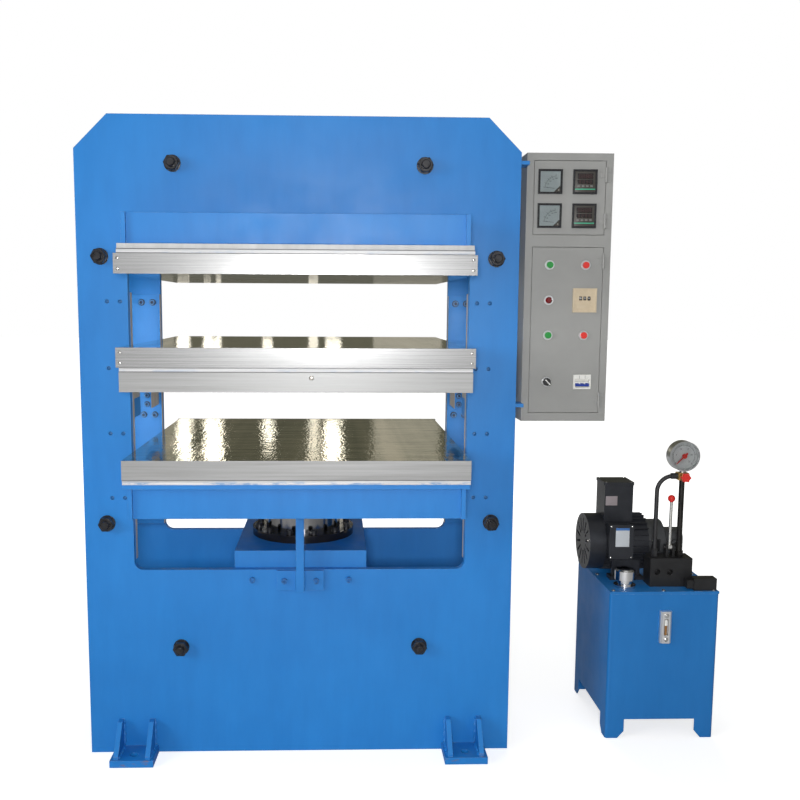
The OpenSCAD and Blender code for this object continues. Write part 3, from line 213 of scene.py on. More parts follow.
def blue_paint(name, shade=1.0, cast=0.0, bare_from=None, silver_below=None, rust_beyond=None):
    """Brushed machine enamel. cast adds a rough skin, faces square to X are unpainted behind bare_from, what
    lies below silver_below is painted silver, and what is further out than rust_beyond has some rust."""
    sh = Shader(name)
    cloud = sh.noise(1.7, 4.0)
    brush = sh.noise(26, 4.0, stretch=(1, 1, 0.22))
    grain = sh.noise(330, 2.0)
    normal, edge = sh.soft_edges(2.2 * MM)
    tone = sh.plus(sh.times(cloud, 0.65), sh.times(brush, 0.35))
    colour = sh.mix(sh.spread(tone, 0.36, 0.64), scaled(BLUE_DEEP, shade), scaled(BLUE_LIGHT, shade))
    upward = sh.spread(sh.lean(Z), 0.9, 0.95)
    settled = sh.times(upward, sh.spread(sh.noise(14, 5.0), 0.42, 0.75, 0.0, 0.35))
    colour = sh.mix(settled, colour, DUST)
    # Paler blue on the edges: partly chipped paint, partly a painted edge highlight.
    edge_wear_and_highlight = sh.times(edge, sh.spread(sh.noise(55, 3.0), 0.46, 0.64, 0.08, 0.6))
    colour = sh.mix(edge_wear_and_highlight, colour, EDGE_WEAR_AND_HIGHLIGHT)
    height = sh.plus(sh.times(grain, 0.25), sh.times(brush, 0.55))
    if cast:
        height = sh.plus(height, sh.times(sh.noise(48, 5.0, 0.65), cast))
    if bare_from is not None:
        bare = sh.times(sh.facing(X), sh.spread(sh.along(Y), bare_from, bare_from + 1 * MM))
        streak = sh.noise(40, 4.0, stretch=(1, 1, 0.05))
        colour = sh.mix(bare, colour, sh.mix(sh.spread(streak, 0.35, 0.65), BARE_STEEL, BARE_STREAK))
        sh.set("Metallic", sh.times(bare, 0.12))
    if silver_below is not None:
        silver = sh.spread(sh.along(Z), silver_below, silver_below - 0.5 * MM)
        colour = sh.mix(silver, colour, sh.mix(sh.vary(brush), SILVER, SILVER_LIGHT))
    if rust_beyond is not None:
        outer = sh.spread(sh.calc("ABSOLUTE", sh.along(Y)), rust_beyond, rust_beyond + 5 * MM)
        patches = sh.noise(30, 5.0, 0.7, stretch=(0.5, 1, 1.5), offset=2.4)
        colour = sh.mix(sh.times(outer, sh.spread(patches, 0.54, 0.66, 0.0, 0.75)), colour, RUST)
    sh.set("Specular IOR Level", 0.42)
    return sh.finish(colour, sh.vary(sh.noise(9, 4.0), 0.4, 0.52), height, 0.35, 0.9 * MM, normal)


def black_steel(name, colour=(0.014, 0.014, 0.016), rough=(0.22, 0.42)):
    """Black oxide or black enamel with rubbed edges."""
    pale_edge = (0.1, 0.085, 0.07)
    sh = Shader(name, metallic=0.35)
    normal, edge = sh.soft_edges(0.9 * MM)
    rub = sh.times(edge, sh.spread(sh.noise(140, 3.0), 0.4, 0.7, 0.0, 0.7))
    patch = sh.mix(sh.spread(sh.noise(30, 4.0), 0.35, 0.7), colour, scaled(colour, 1.9))
    sheen = sh.vary(sh.noise(60, 3.0), *rough)
    return sh.finish(sh.mix(rub, patch, pale_edge), sheen, sh.noise(500, 2.0), 0.12, 0.6 * MM, normal)


def screw_finish(name, axis, ring_radius, bar_face, ledge_face):
    """Screws painted over with the frame, ones on the guide bars and ledges whose sockets and head sides are
    painted dark as painted shade, and black ones round the gland, whose axis is given in X and Y. The faces
    are where the heads end."""
    black, pale_edge = (0.012, 0.012, 0.014), (0.14, 0.27, 0.45)
    socket_shade_dark, socket_shade_light = (0.004, 0.012, 0.04), (0.006, 0.025, 0.08)
    head_dark, head_light = (0.03, 0.14, 0.34), (0.06, 0.22, 0.46)
    frame_dark = (0.012, 0.09, 0.27)
    guide_reach = 250 * MM
    sh = Shader(name)
    painted = sh.spread(sh.away(X, Y, axis), ring_radius, ring_radius + 4 * MM)
    normal, edge = sh.soft_edges(0.6 * MM)
    rub = sh.spread(sh.noise(120, 3.0), 0.42, 0.62)
    depth = sh.calc("ABSOLUTE", sh.along(Y))
    outside = sh.spread(depth, guide_reach, guide_reach + 2 * MM)
    face = sh.spread(depth, ledge_face + 20 * MM, ledge_face + 30 * MM, ledge_face, bar_face)
    sunk = sh.spread(sh.calc("SUBTRACT", depth, face), 1 * MM, 2 * MM)
    # Below the head's face the colour turns dark: painted shade in the sockets and on the heads' sides.
    head = sh.mix(sunk, sh.mix(rub, head_dark, head_light), sh.mix(rub, socket_shade_dark, socket_shade_light))
    blue = sh.mix(outside, head, sh.mix(rub, frame_dark, BLUE_DEEP))
    # Paler blue on the screws' edges: a painted rim highlight.
    blue = sh.mix(sh.times(edge, 0.6), blue, pale_edge)
    sheen = sh.spread(rub, 0.0, 1.0, 0.28, 0.45)
    return sh.finish(sh.mix(painted, black, blue), sheen, sh.noise(700, 2.0), 0.12, 0.5 * MM, normal)


def ground_steel(name):
    """Hot plate: ground working faces with streaks from front to rear, partly burnished tint and partly
    painted reflection, and silver-painted edges.
    """
    dull, bright_tint_and_reflection, blotch = (0.18, 0.21, 0.12), (0.74, 0.7, 0.56), (0.16, 0.14, 0.1)
    paint_dark, paint_light, paint_mark = (0.25, 0.25, 0.245), (0.34, 0.34, 0.34), (0.19, 0.18, 0.165)
    sh = Shader(name)
    flat = sh.facing(Z)
    streak = sh.noise(9, 3.0, 0.55, stretch=(1, 0.02, 1))
    scratch = sh.noise(34, 6.0, 0.75, stretch=(0.12, 1, 1))
    tint = sh.plus(sh.times(streak, 0.5), sh.times(scratch, 0.5))
    blots = sh.noise(22, 5.0, 0.7, stretch=(1, 0.35, 1), offset=3.0)
    # The pale streaks in the steel's colour are partly burnished tint, partly painted reflection.
    steel = sh.mix(sh.spread(tint, 0.4, 0.6), dull, bright_tint_and_reflection)
    steel = sh.mix(sh.spread(blots, 0.55, 0.75, 0.0, 0.35), steel, blotch)
    stroke = sh.noise(16, 5.0, 0.65, stretch=(0.12, 1, 6))
    marks = sh.noise(7, 5.0, 0.75, offset=1.7)
    paint = sh.mix(sh.vary(stroke), paint_dark, paint_light)
    paint = sh.mix(sh.spread(marks, 0.66, 0.76, 0.0, 0.4), paint, paint_mark)
    sh.set("Metallic", sh.spread(flat, 0.0, 1.0, 0.2, 1.0))
    polish = sh.vary(sh.noise(30, 4.0, 0.7, stretch=(1, 0.06, 1)), 0.05, 0.12)
    painted = sh.vary(stroke, 0.33, 0.45)
    sheen = sh.plus(painted, sh.times(flat, sh.calc("SUBTRACT", polish, painted)))
    coarse = sh.times(sh.noise(34, 3.0, 0.6, stretch=(1, 0.8, 1)), 2.6)
    speckle = sh.times(sh.noise(110, 2.0, 0.5, stretch=(1, 0.3, 1)), 2.4)
    wave = sh.times(sh.noise(9, 2.0, 0.5, stretch=(1, 0.45, 1), offset=5.0), 5.0)
    ground = sh.times(sh.plus(sh.plus(coarse, speckle), wave), flat)
    normal = sh.soft_edges(1.2 * MM)[0]
    return sh.finish(sh.mix(flat, paint, steel), sheen, sh.plus(stroke, ground), 0.22, 0.8 * MM, normal)


def brushed_sheet(name):
    """Aluminium sheet with a long horizontal grain and a few rubbed marks."""
    dark, light, rubbed = (0.25, 0.25, 0.25), (0.32, 0.32, 0.32), (0.18, 0.18, 0.18)
    sh = Shader(name, metallic=0.24)
    grain = sh.noise(55, 5.0, 0.75, stretch=(0.035, 1, 14))
    smear = sh.noise(5, 5.0, 0.7, stretch=(0.5, 1, 3), offset=4.0)
    colour = sh.mix(sh.vary(grain), dark, light)
    colour = sh.mix(sh.spread(smear, 0.5, 0.8, 0.0, 0.35), colour, rubbed)
    sh.set("Anisotropic", 0.4)
    return sh.finish(colour, sh.vary(grain, 0.2, 0.34), grain, 0.1, 0.5 * MM, sh.soft_edges(1.2 * MM)[0])


def insulation_edge(name, blue_share=0.3, under_gap_shade=0.8):
    """Insulation board under uneven silver paint, with dark lines along its top and bottom edges that are
    painted shade for the gaps there, and some blue brushed on.
    """
    silver_dark, silver_light = (0.4, 0.4, 0.4), (0.62, 0.62, 0.63)
    blue, dark = (0.15, 0.27, 0.45), (0.05, 0.05, 0.05)
    sh = Shader(name, metallic=0.3)
    rise = sh.part(sh.within, Z)
    # Dark lines along the board's top and bottom edges: painted shade for the gaps there.
    gap_shade = sh.plus(sh.spread(rise, 0.76, 0.86, 0.0, 0.8), sh.spread(rise, 0.14, 0.24, under_gap_shade, 0.0))
    layers = sh.noise(24, 4.0, 0.6, stretch=(0.08, 0.08, 9))
    over = sh.noise(13, 5.0, 0.7, stretch=(1, 1, 4), offset=2.0)
    lower = sh.spread(rise, 0.3, 0.6, blue_share, 0.3 * blue_share)
    colour = sh.mix(sh.spread(layers, 0.35, 0.65), silver_dark, silver_light)
    colour = sh.mix(sh.times(sh.spread(over, 0.5, 0.6), lower), colour, blue)
    colour = sh.mix(gap_shade, colour, dark)
    return sh.finish(colour, sh.vary(layers, 0.45, 0.6), sh.plus(layers, sh.noise(160, 3.0)), 0.35, 0.8 * MM)


def machined_steel(name, low=(0.3, 0.27, 0.23), high=(0.52, 0.5, 0.46), rough=(0.28, 0.42),
                   grain=(1, 1, 0.08)):
    """Bare machined steel with tool lines and a brown bloom."""
    brown = (0.16, 0.1, 0.06)
    sh = Shader(name, metallic=1.0)
    lines = sh.noise(120, 4.0, 0.7, stretch=grain)
    bloom = sh.spread(sh.noise(35, 5.0, 0.7), 0.55, 0.8, 0.0, 0.5)
    colour = sh.mix(bloom, sh.mix(sh.vary(lines), low, high), brown)
    return sh.finish(colour, sh.vary(lines, *rough), lines, 0.15, 0.4 * MM, sh.soft_edges(0.6 * MM)[0])


def bright_metal(name, colour=(0.8, 0.8, 0.82), rough=(0.06, 0.16)):
    """Chrome or polished metal with fine wipe marks."""
    sh = Shader(name, metallic=1.0)
    wipe = sh.noise(45, 5.0, 0.7, stretch=(1, 1, 0.2))
    wiped = sh.mix(sh.spread(wipe, 0.3, 0.75), colour, scaled(colour, 0.82))
    return sh.finish(wiped, sh.vary(wipe, *rough), wipe, 0.05, 0.3 * MM, sh.soft_edges(0.6 * MM)[0])


def coated_sheet(name, colour=(0.27, 0.27, 0.26)):
    """Light grey texture paint on a sheet cabinet."""
    rubbed = (0.5, 0.5, 0.49)
    sh = Shader(name)
    peel = sh.noise(420, 3.0, 0.6)
    normal, edge = sh.soft_edges(1 * MM)
    base = sh.mix(sh.spread(sh.noise(4, 4.0), 0.35, 0.65), scaled(colour, 0.93), scaled(colour, 1.07))
    scuff = sh.times(edge, sh.spread(sh.noise(80, 3.0), 0.5, 0.7, 0.0, 0.4))
    return sh.finish(sh.mix(scuff, base, rubbed), sh.vary(peel, 0.36, 0.5), peel, 0.22, 0.5 * MM, normal)


def plastic(name, colour, rough=(0.28, 0.4), coat=0.0):
    """Moulded plastic with a faint grain and slightly paler edges."""
    sh = Shader(name)
    grain = sh.noise(900, 2.0)
    normal, edge = sh.soft_edges(0.7 * MM)
    base = sh.mix(sh.vary(sh.noise(60, 3.0)), scaled(colour, 0.88), colour)
    edged = sh.mix(sh.times(edge, 0.5), base, scaled(colour, 1.25, 0.01))
    sh.set("Coat Weight", coat)
    return sh.finish(edged, sh.vary(grain, *rough), grain, 0.06, 0.3 * MM, normal)


def toggle_finish(name, pivot, barrel_r):
    """A white barrel with blue fins. The pivot is given in Y and Z."""
    white, blue = (0.7, 0.7, 0.67), (0.02, 0.05, 0.32)
    sh = Shader(name)
    fin = sh.spread(sh.away(Y, Z, pivot), barrel_r + 0.3 * MM, barrel_r + 0.6 * MM)
    grain = sh.noise(900, 2.0)
    return sh.finish(sh.mix(fin, white, blue), sh.vary(grain, 0.25, 0.36), grain, 0.06, 0.3 * MM)


def stand_finish(name, brass_from):
    """A black steel pipe with a brass fitting on its upper end."""
    pipe_dark, pipe_light = (0.02, 0.02, 0.021), (0.045, 0.042, 0.038)
    brass_dark, brass_light = (0.5, 0.33, 0.1), (0.66, 0.45, 0.15)
    sh = Shader(name, metallic=0.8)
    brass = sh.spread(sh.along(Z), brass_from, brass_from + 0.5 * MM)
    wear = sh.vary(sh.noise(70, 4.0, stretch=(1, 1, 0.3)))
    colour = sh.mix(brass, sh.mix(wear, pipe_dark, pipe_light), sh.mix(wear, brass_dark, brass_light))
    return sh.finish(colour, sh.spread(wear, 0.0, 1.0, 0.24, 0.42), wear, 0.06, 0.4 * MM)


def lever_finish(name, ball_from):
    """A bright rod with a red moulded ball on its upper end."""
    rod_dark, rod_light, red = (0.74, 0.73, 0.7), (0.86, 0.85, 0.83), (0.62, 0.018, 0.012)
    sh = Shader(name)
    ball = sh.spread(sh.along(Z), ball_from, ball_from + 0.5 * MM)
    wipe = sh.noise(70, 4.0, stretch=(1, 1, 0.2))
    colour = sh.mix(ball, sh.mix(sh.vary(wipe), rod_dark, rod_light), red)
    sh.set("Metallic", sh.spread(ball, 0.0, 1.0, 0.9, 0.0))
    return sh.finish(colour, sh.vary(wipe, 0.2, 0.32), wipe, 0.05, 0.3 * MM)


def cast_metal(name, colour, rough=(0.42, 0.6), grain=0.5):
    """Painted or bare casting with a sand-cast skin."""
    sh = Shader(name, metallic=0.25)
    skin = sh.noise(190, 4.0, 0.65)
    normal, edge = sh.soft_edges(1.5 * MM)
    base = sh.mix(sh.vary(sh.noise(20, 4.0)), scaled(colour, 0.75), scaled(colour, 1.2))
    rub = sh.times(edge, sh.spread(sh.noise(70, 3.0), 0.45, 0.7, 0.0, 0.5))
    rubbed = sh.mix(rub, base, scaled(colour, 2.2, 0.03))
    return sh.finish(rubbed, sh.vary(skin, *rough), skin, grain, 0.6 * MM, normal)


def rubber(name):
    """Black rubber with a fabric-wrapped skin."""
    dark, light = (0.012, 0.012, 0.013), (0.024, 0.024, 0.026)
    sh = Shader(name)
    wrap = sh.noise(260, 3.0, stretch=(1, 1, 0.3))
    return sh.finish(sh.mix(sh.vary(wrap), dark, light), sh.vary(wrap, 0.42, 0.6), wrap, 0.3, 0.4 * MM)


def clear_glass(name):
    """Thin flat glass with a little grime."""
    tint = (0.96, 0.98, 0.97)
    sh = Shader(name)
    sh.set("Transmission Weight", 1.0)
    sh.set("IOR", 1.12)
    return sh.finish(tint, sh.spread(sh.noise(120, 4.0), 0.55, 0.8, 0.02, 0.1))


def print_ink(name, colour, rough=0.5):
    """Printed or painted marks with a slightly uneven tone."""
    uneven = 0.06
    sh = Shader(name)
    cloud = sh.noise(800, 2.0)
    tone = sh.mix(sh.vary(cloud), scaled(colour, 0.85), colour)
    return sh.finish(tone, sh.vary(cloud, rough - uneven, rough + uneven))


BEAM_PLATE = 14 * MM
BARREL = 6 * MM
BAR_SEAT, BAR_HEAD = 229 * MM, 12 * MM
LEDGE_SEAT, LEDGE_HEAD = 89 * MM, 10 * MM
RUSTY_FROM = 372 * MM
BRASS_FITTING = 24 * MM

plunger_mid = midpoint(*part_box("plunger"))
gland_low, gland_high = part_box("gland_ring")
lever_low, lever_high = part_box("valve_lever")
toggle_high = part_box("breaker_toggle")[1]
upper_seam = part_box("upper_beam")[0].z + BEAM_PLATE

BLUE = blue_paint("blue_enamel")
FRAME_BLUE = blue_paint("blue_enamel_on_frame", rust_beyond=RUSTY_FROM)
# The frame blue made darker for the tank and its lid: painted shade for the lesser light on the tank.
BLUE_TANK_SHADED = blue_paint("blue_enamel_painted_shade_tank", shade=0.85)
# Half as bright as the frame blue: painted shade in the dimples of the screw ends and under the moving beam's
# plate.
BLUE_PAINTED_SHADE = blue_paint("blue_enamel_painted_shade", shade=0.5)
# Nearly black blue: painted shadow for the rings round the guide bar and ledge screws.
SHADOW_NAVY = blue_paint("blue_enamel_painted_shadow", shade=0.12)
SHEET = brushed_sheet("cover_sheet")
STEEL = machined_steel("machined_steel")
BRIGHT_STEEL = machined_steel("bright_steel", (0.55, 0.54, 0.52), (0.78, 0.77, 0.75), (0.2, 0.3), (1, 1, 1))
SATIN = bright_metal("satin_aluminium", (0.66, 0.67, 0.68), (0.28, 0.4))
GREY_PAINT = coated_sheet("cabinet_grey")
RED = plastic("button_red", (0.66, 0.03, 0.022))
BEIGE = plastic("timer_beige", (0.56, 0.46, 0.32), (0.4, 0.52))
HOSE = rubber("hose_rubber")
GLASS = clear_glass("clear_glass")
INK = print_ink("black_ink", (0.01, 0.01, 0.011))
PALE = print_ink("scale_white", (0.8, 0.8, 0.77), 0.45)
DISPLAY = plastic("display_window", (0.012, 0.01, 0.01), (0.1, 0.18), coat=0.4)

FINISHES = {
    "blue_paint": BLUE,
    "black_steel": black_steel("black_oxide"),
    "platen_steel": ground_steel("hot_plate_steel"),
    "silver_paint": SHEET,
    "insulation_board": insulation_edge("insulation_paint"),
    "heater_steel": BRIGHT_STEEL,
    "bush_bronze": bright_metal("brass", (0.62, 0.42, 0.14), (0.2, 0.34)),
    "seal_rubber": HOSE,
    "cabinet_paint": GREY_PAINT,
    "gear_plastic": plastic("switchgear_grey", (0.06, 0.06, 0.065), (0.4, 0.55)),
    "instrument_black": plastic("instrument_black", (0.016, 0.016, 0.018), (0.2, 0.32)),
    "collar_metal": SATIN,
    "lamp_red": plastic("lamp_red", (0.16, 0.008, 0.01), (0.08, 0.16), coat=0.6),
    "button_green": plastic("button_green", (0.012, 0.26, 0.04)),
    "button_red": RED, "timer_beige": BEIGE,
    "knob_black": plastic("knob_black", (0.014, 0.014, 0.014), (0.35, 0.5)),
    "breaker_white": plastic("breaker_white", (0.74, 0.73, 0.69), (0.35, 0.48)),
    "toggle_blue": toggle_finish("toggle_blue", (toggle_high.y - BARREL, toggle_high.z - BARREL), BARREL),
    "cap_chrome": bright_metal("chrome"),
    "motor_paint": cast_metal("motor_enamel", (0.022, 0.024, 0.03), (0.3, 0.45)),
    "pump_iron": cast_metal("pump_casting", (0.055, 0.058, 0.062)),
    "lever_chrome": lever_finish("lever_bright", lever_high.z - (lever_high.y - lever_low.y)),
    "needle_red": RED, "hose_rubber": HOSE,
}
OWN_FINISH = {
    "front_frame_plate": FRAME_BLUE, "rear_frame_plate": FRAME_BLUE,
    "cylinder_block": blue_paint("blue_enamel_on_forging", cast=1.6),
    "guide_bars": blue_paint("blue_enamel_bare_sides", bare_from=-1.0),
    "ledge_blocks": blue_paint("blue_enamel_bare_ledge", bare_from=0.0),
    "cap_screws": screw_finish("screw_paint", (plunger_mid.x, plunger_mid.y), (gland_high.x - gland_low.x) / 2,
                               BAR_SEAT - BAR_HEAD, LEDGE_SEAT - LEDGE_HEAD),
    "gland_ring": black_steel("gland_black", (0.01, 0.009, 0.009), (0.1, 0.24)),
    "mounting_plate": coated_sheet("zinc_sheet", (0.4, 0.41, 0.4)),
    "cabinet_hinges": GREY_PAINT,
    "drive_shaft": BRIGHT_STEEL,
    "valve_block": cast_metal("valve_black", (0.016, 0.016, 0.017), (0.35, 0.5), 0.25),
    "gauge_case": SATIN,
    "gauge_stand": stand_finish("stand_pipe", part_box("gauge_stand")[1].z - BRASS_FITTING),
    "lower_heaters": SHEET, "middle_heaters": SHEET,
    "upper_beam": blue_paint("blue_enamel_over_silver", silver_below=upper_seam),
    # Dark chrome for the plunger: painted reflection of the dark beam and floor round it.
    "plunger": bright_metal("ram_chrome_painted_dark", (0.3, 0.3, 0.31), (0.08, 0.2)),
    "level_gauge": bright_metal("pale_aluminium", (0.88, 0.88, 0.89), (0.38, 0.52)),
    "lower_insulation": insulation_edge("insulation_paint_low", blue_share=0.9, under_gap_shade=0.0),
    "tank": BLUE_TANK_SHADED, "tank_lid": BLUE_TANK_SHADED,
}

slots = {part["node"]: part["material_slot"] for part in frame["record"]["subparts"]}
for name, obj in frame["nodes"].items():
    obj.data.materials.clear()
    obj.data.materials.append(OWN_FINISH.get(name) or FINISHES[slots[name]])


# Mesh building

TINY_ROUND, SMALL_ROUND, ROUND, WIDE_ROUND = 16, 20, 24, 48
SHARP_FROM = radians(35)
SMALLEST = 0.001 * MM


class Build:
    """Collects shapes into one mesh, which becomes one piece."""

    def __init__(self):
        self.bm = bmesh.new()

    def skin(self, rings):
        """Joins rings of points with faces, and closes both ends. A ring of one point is a tip."""
        sides = max(len(ring) for ring in rings)
        for low, high in zip(rings, rings[1:]):
            for k in range(sides):
                a, b = low[k % len(low)], low[(k + 1) % len(low)]
                c, d = high[(k + 1) % len(high)], high[k % len(high)]
                corners = list(dict.fromkeys((a, b, c, d)))
                if len(corners) > 2:
                    self.bm.faces.new(corners)
        for ring in (rings[0], rings[-1]):
            if len(ring) > 2:
                self.bm.faces.new(ring)

    def turn(self, profile, place, axis, sides):
        """A profile of (radius, height) points turned about an axis through a place."""
        spin = UP.rotation_difference(axis).to_matrix()
        rings = []
        for radius, height in profile:
            count = sides if radius > SMALLEST else 1
            angles = [2 * pi * k / count for k in range(count)]
            points = [Vector((radius * cos(a), radius * sin(a), height)) for a in angles]
            rings.append([self.bm.verts.new(spin @ point + Vector(place)) for point in points])
        self.skin(rings)

    def box(self, low, high, round_by=0.0):
        """A box between two corners, with rounded edges."""
        low, high = Vector(low), Vector(high)
        size = high - low
        made = bmesh.ops.create_cube(self.bm, size=1.0)["verts"]
        for v in made:
            v.co = midpoint(low, high) + Vector((v.co.x * size.x, v.co.y * size.y, v.co.z * size.z))
        if round_by:
            edges = list({e for v in made for e in v.link_edges})
            bmesh.ops.bevel(self.bm, geom=edges, offset=round_by, segments=2, profile=0.6, affect="EDGES")

    def slab(self, outline, y0, y1):
        """A flat outline of (x, z) points, made solid from y0 to y1."""
        self.skin([[self.bm.verts.new((x, y, z)) for x, z in outline] for y in (y0, y1)])

    def bead(self, start, end, radius, pitch=5 * MM, lumps=0.0):
        """A weld bead with ripples and slower lumps, from start to end."""
        sides, ripple_steps, least_steps = 8, 3, 6
        taper, blunt = 12, 0.25
        ripple, lump_rate, lump_shift = 0.13, 0.23, 40
        start, end = Vector(start), Vector(end)
        run = end - start
        steps = max(least_steps, int(run.length / pitch) * ripple_steps)
        side = run.orthogonal().normalized()
        other = run.normalized().cross(side)
        rings = []
        for k in range(steps + 1):
            t = k / steps
            close = min(1.0, taper * min(t, 1 - t) + blunt)
            turns = 2 * pi * t * run.length / pitch
            lump = lumps * sin(lump_rate * turns + start.x * lump_shift)
            swell = radius * close * (1 + ripple * sin(turns) + lump)
            ring = []
            for j in range(sides):
                angle = 2 * pi * j / sides
                out = side * cos(angle) + other * sin(angle)
                ring.append(self.bm.verts.new(start + run * t + swell * out))
            rings.append(ring)
        self.skin(rings)

    def text(self, words, x, y, z, height):
        """Plain numerals that face the front, centred on a point."""
        size_for_height, half_depth = 1.4, 0.06 * MM
        curve = bpy.data.curves.new("numerals", "FONT")
        curve.body = words
        curve.size = height * size_for_height
        curve.align_x = curve.align_y = "CENTER"
        curve.extrude = half_depth
        curve.resolution_u = 3
        holder = bpy.data.objects.new("numerals", curve)
        scene.collection.objects.link(holder)
        bpy.context.view_layer.update()
        flat = bpy.data.meshes.new_from_object(holder)
        flat.transform(Matrix.Translation((x, y, z)) @ Matrix.Rotation(pi / 2, 4, "X"))
        self.bm.from_mesh(flat)
        bpy.data.objects.remove(holder)
        bpy.data.curves.remove(curve)
        bpy.data.meshes.remove(flat)

    def piece(self, name, material, body, slot=None):
        """Makes the piece, smooth apart from its sharp edges, and rides it on a body."""
        bmesh.ops.recalc_face_normals(self.bm, faces=self.bm.faces)
        mesh = bpy.data.meshes.new(name)
        self.bm.to_mesh(mesh)
        self.bm.free()
        mesh.materials.append(material)
        for polygon in mesh.polygons:
            polygon.use_smooth = True
        mesh.set_sharp_from_angle(angle=SHARP_FROM)
        obj = bpy.data.objects.new(name, mesh)
        scene.collection.objects.link(obj)
        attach(obj, body)


def polar(cx, cz, radius, angle):
    """A point on a circle in X and Z, with its angle in degrees from +X towards +Z."""
    a = radians(angle)
    return cx + radius * cos(a), cz + radius * sin(a)


def disc(radius, top, base=0.0):
    """A profile of a plain round plate or rod."""
    return [(0.0, base), (radius, base), (radius, top), (0.0, top)]


def dome(radius, height):
    """A profile of a domed head: a straight edge, then a round top."""
    steps = 4
    edge = 0.35 * height
    points = [(radius, 0.0), (radius, edge)]
    for k in range(1, steps + 1):
        angle = pi / 2 * k / steps
        points.append((radius * cos(angle), edge + (height - edge) * sin(angle)))
    return points


# Press: screws, painted shadow rings, welds and a plug

FRAME_FACE = 279 * MM
WELD = 3.6 * MM


def cover_screws():
    """Two pan head screws at each end of the front and rear covers."""
    inset, cover_h, rows = 12 * MM, 56 * MM, (0.24, 0.76)
    head = dome(4.2 * MM, 2.4 * MM)
    covers = (
        ("upper_front_cover", "press", FRONT), ("middle_front_cover", "middle_platen", FRONT),
        ("lower_heaters", "ram", REAR), ("middle_heaters", "middle_platen", REAR),
    )
    for node, body, outward in covers:
        low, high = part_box(node)
        face = low.y if outward == FRONT else high.y
        build = Build()
        for x in (low.x + inset, high.x - inset):
            for row in rows:
                build.turn(head, (x, face, high.z - row * cover_h), outward, SMALL_ROUND)
        build.piece(node + "_screws", BRIGHT_STEEL, body, "bare_steel")


def bar_screw_points():
    """The (x, z) of every screw through the guide bars."""
    row_inset, row_pitch, rows = 28 * MM, 201 * MM, 4
    bar_width, columns = 125 * MM, (25 * MM, 64 * MM)
    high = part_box("guide_bars")[1]
    across = [side * (high.x - bar_width + column) for side in ENDS for column in columns]
    return [(x, high.z - row_inset - row * row_pitch) for x in across for row in range(rows)]


def painted_screw_ends():
    """The ends of the guide bar screws, painted over in the faces of the frame plates, in a darker blue that
    is painted shade in their dimples.
    """
    radius, flat, depth, slope, proud = 5.9 * MM, 4.2 * MM, 4 * MM, 0.9 * MM, 0.1 * MM
    profile = [(0.0, -depth), (radius, -depth), (radius, -slope), (flat, proud), (0.0, proud)]
    build = Build()
    for x, z in bar_screw_points():
        for y, outward in ((-FRAME_FACE, FRONT), (FRAME_FACE, REAR)):
            build.turn(profile, (x, y, z), outward, SMALL_ROUND)
    build.piece("painted_screw_ends", BLUE_PAINTED_SHADE, "press", "blue_paint")


def screw_shadow_rings():
    """Dark washer-shaped rings under the heads on the guide bars and ledges: painted shadow standing in for
    the shade in the counterbores round the heads.
    """
    thick, bar_radius, ledge_radius = 2 * MM, 12 * MM, 10 * MM
    ledge_inset, rows = 14 * MM, (15 * MM, 45 * MM)
    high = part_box("ledge_blocks")[1]
    ledge_x = high.x - ledge_inset
    spots = [(x, z, BAR_SEAT, bar_radius) for x, z in bar_screw_points()]
    spots += [(side * ledge_x, high.z - row, LEDGE_SEAT, ledge_radius) for side in ENDS for row in rows]
    build = Build()
    for x, z, seat, radius in spots:
        for y, inward in ((-seat, REAR), (seat, FRONT)):
            build.turn(disc(radius, thick), (x, y, z), inward, ROUND)
    build.piece("screw_shadow_rings", SHADOW_NAVY, "press", "black_steel")


def foot_welds():
    """Fillets along the gussets of the four feet."""
    foot_x, gusset_x, half_t = 520 * MM, 49 * MM, 7.5 * MM
    base, top, reach = 22 * MM, 108 * MM, 90 * MM
    weld, lumps = 4.6 * MM, 0.3
    build = Build()
    for end, side, gusset, flank in product(ENDS, repeat=4):
        face = end * FRAME_FACE
        x = side * foot_x + gusset * gusset_x + flank * half_t
        build.bead((x, face, base), (x, face + end * reach, base), weld, lumps=lumps)
        build.bead((x, face, base), (x, face, top), weld, lumps=lumps)
    build.piece("foot_welds", BLUE, "press", "blue_paint")


def post_welds():
    """Fillets between the rest posts and their brackets."""
    half_w, bracket_t, start, end = 12.5 * MM, 12 * MM, 2 * MM, 59 * MM
    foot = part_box("rest_posts")[0].z
    build = Build()
    for face, side in product(ENDS, repeat=2):
        x, y = side * half_w, face * (FRAME_FACE + bracket_t)
        build.bead((x, y, foot + start), (x, y, foot + end), WELD)
    build.piece("post_welds", BLUE, "press", "blue_paint")


def beam_welds():
    """Long fillets where the beams' front and rear webs stand on their plates."""
    half_l, web_y, pitch = 470 * MM, 468 * MM, 8 * MM
    moving_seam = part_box("moving_beam")[1].z - BEAM_PLATE
    seams = (
        ("upper_beam_welds", BLUE, "press", upper_seam),
        # The moving beam's fillets take the darker blue: painted shade under the edge of the beam's plate.
        ("moving_beam_welds", BLUE_PAINTED_SHADE, "ram", moving_seam),
    )
    for name, paint, body, z in seams:
        build = Build()
        for y in (-web_y, web_y):
            build.bead((-half_l, y, z), (half_l, y, z), WELD, pitch)
        build.piece(name, paint, body, "blue_paint")


def plate_plug():
    """A round plug in the front edge of the lower middle plate."""
    aside, drop = 41 * MM, 15 * MM
    x, y, _ = front_of("middle_lower_plate")
    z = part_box("middle_insulation")[0].z - drop
    build = Build()
    build.turn(dome(6.5 * MM, 2 * MM), (x + aside, y, z), FRONT, ROUND)
    build.piece("plate_plug", STEEL, "middle_platen", "bare_steel")


cover_screws()
painted_screw_ends()
screw_shadow_rings()
foot_welds()
post_welds()
beam_welds()
plate_plug()


# Cabinet: instruments, timer, breaker and selector

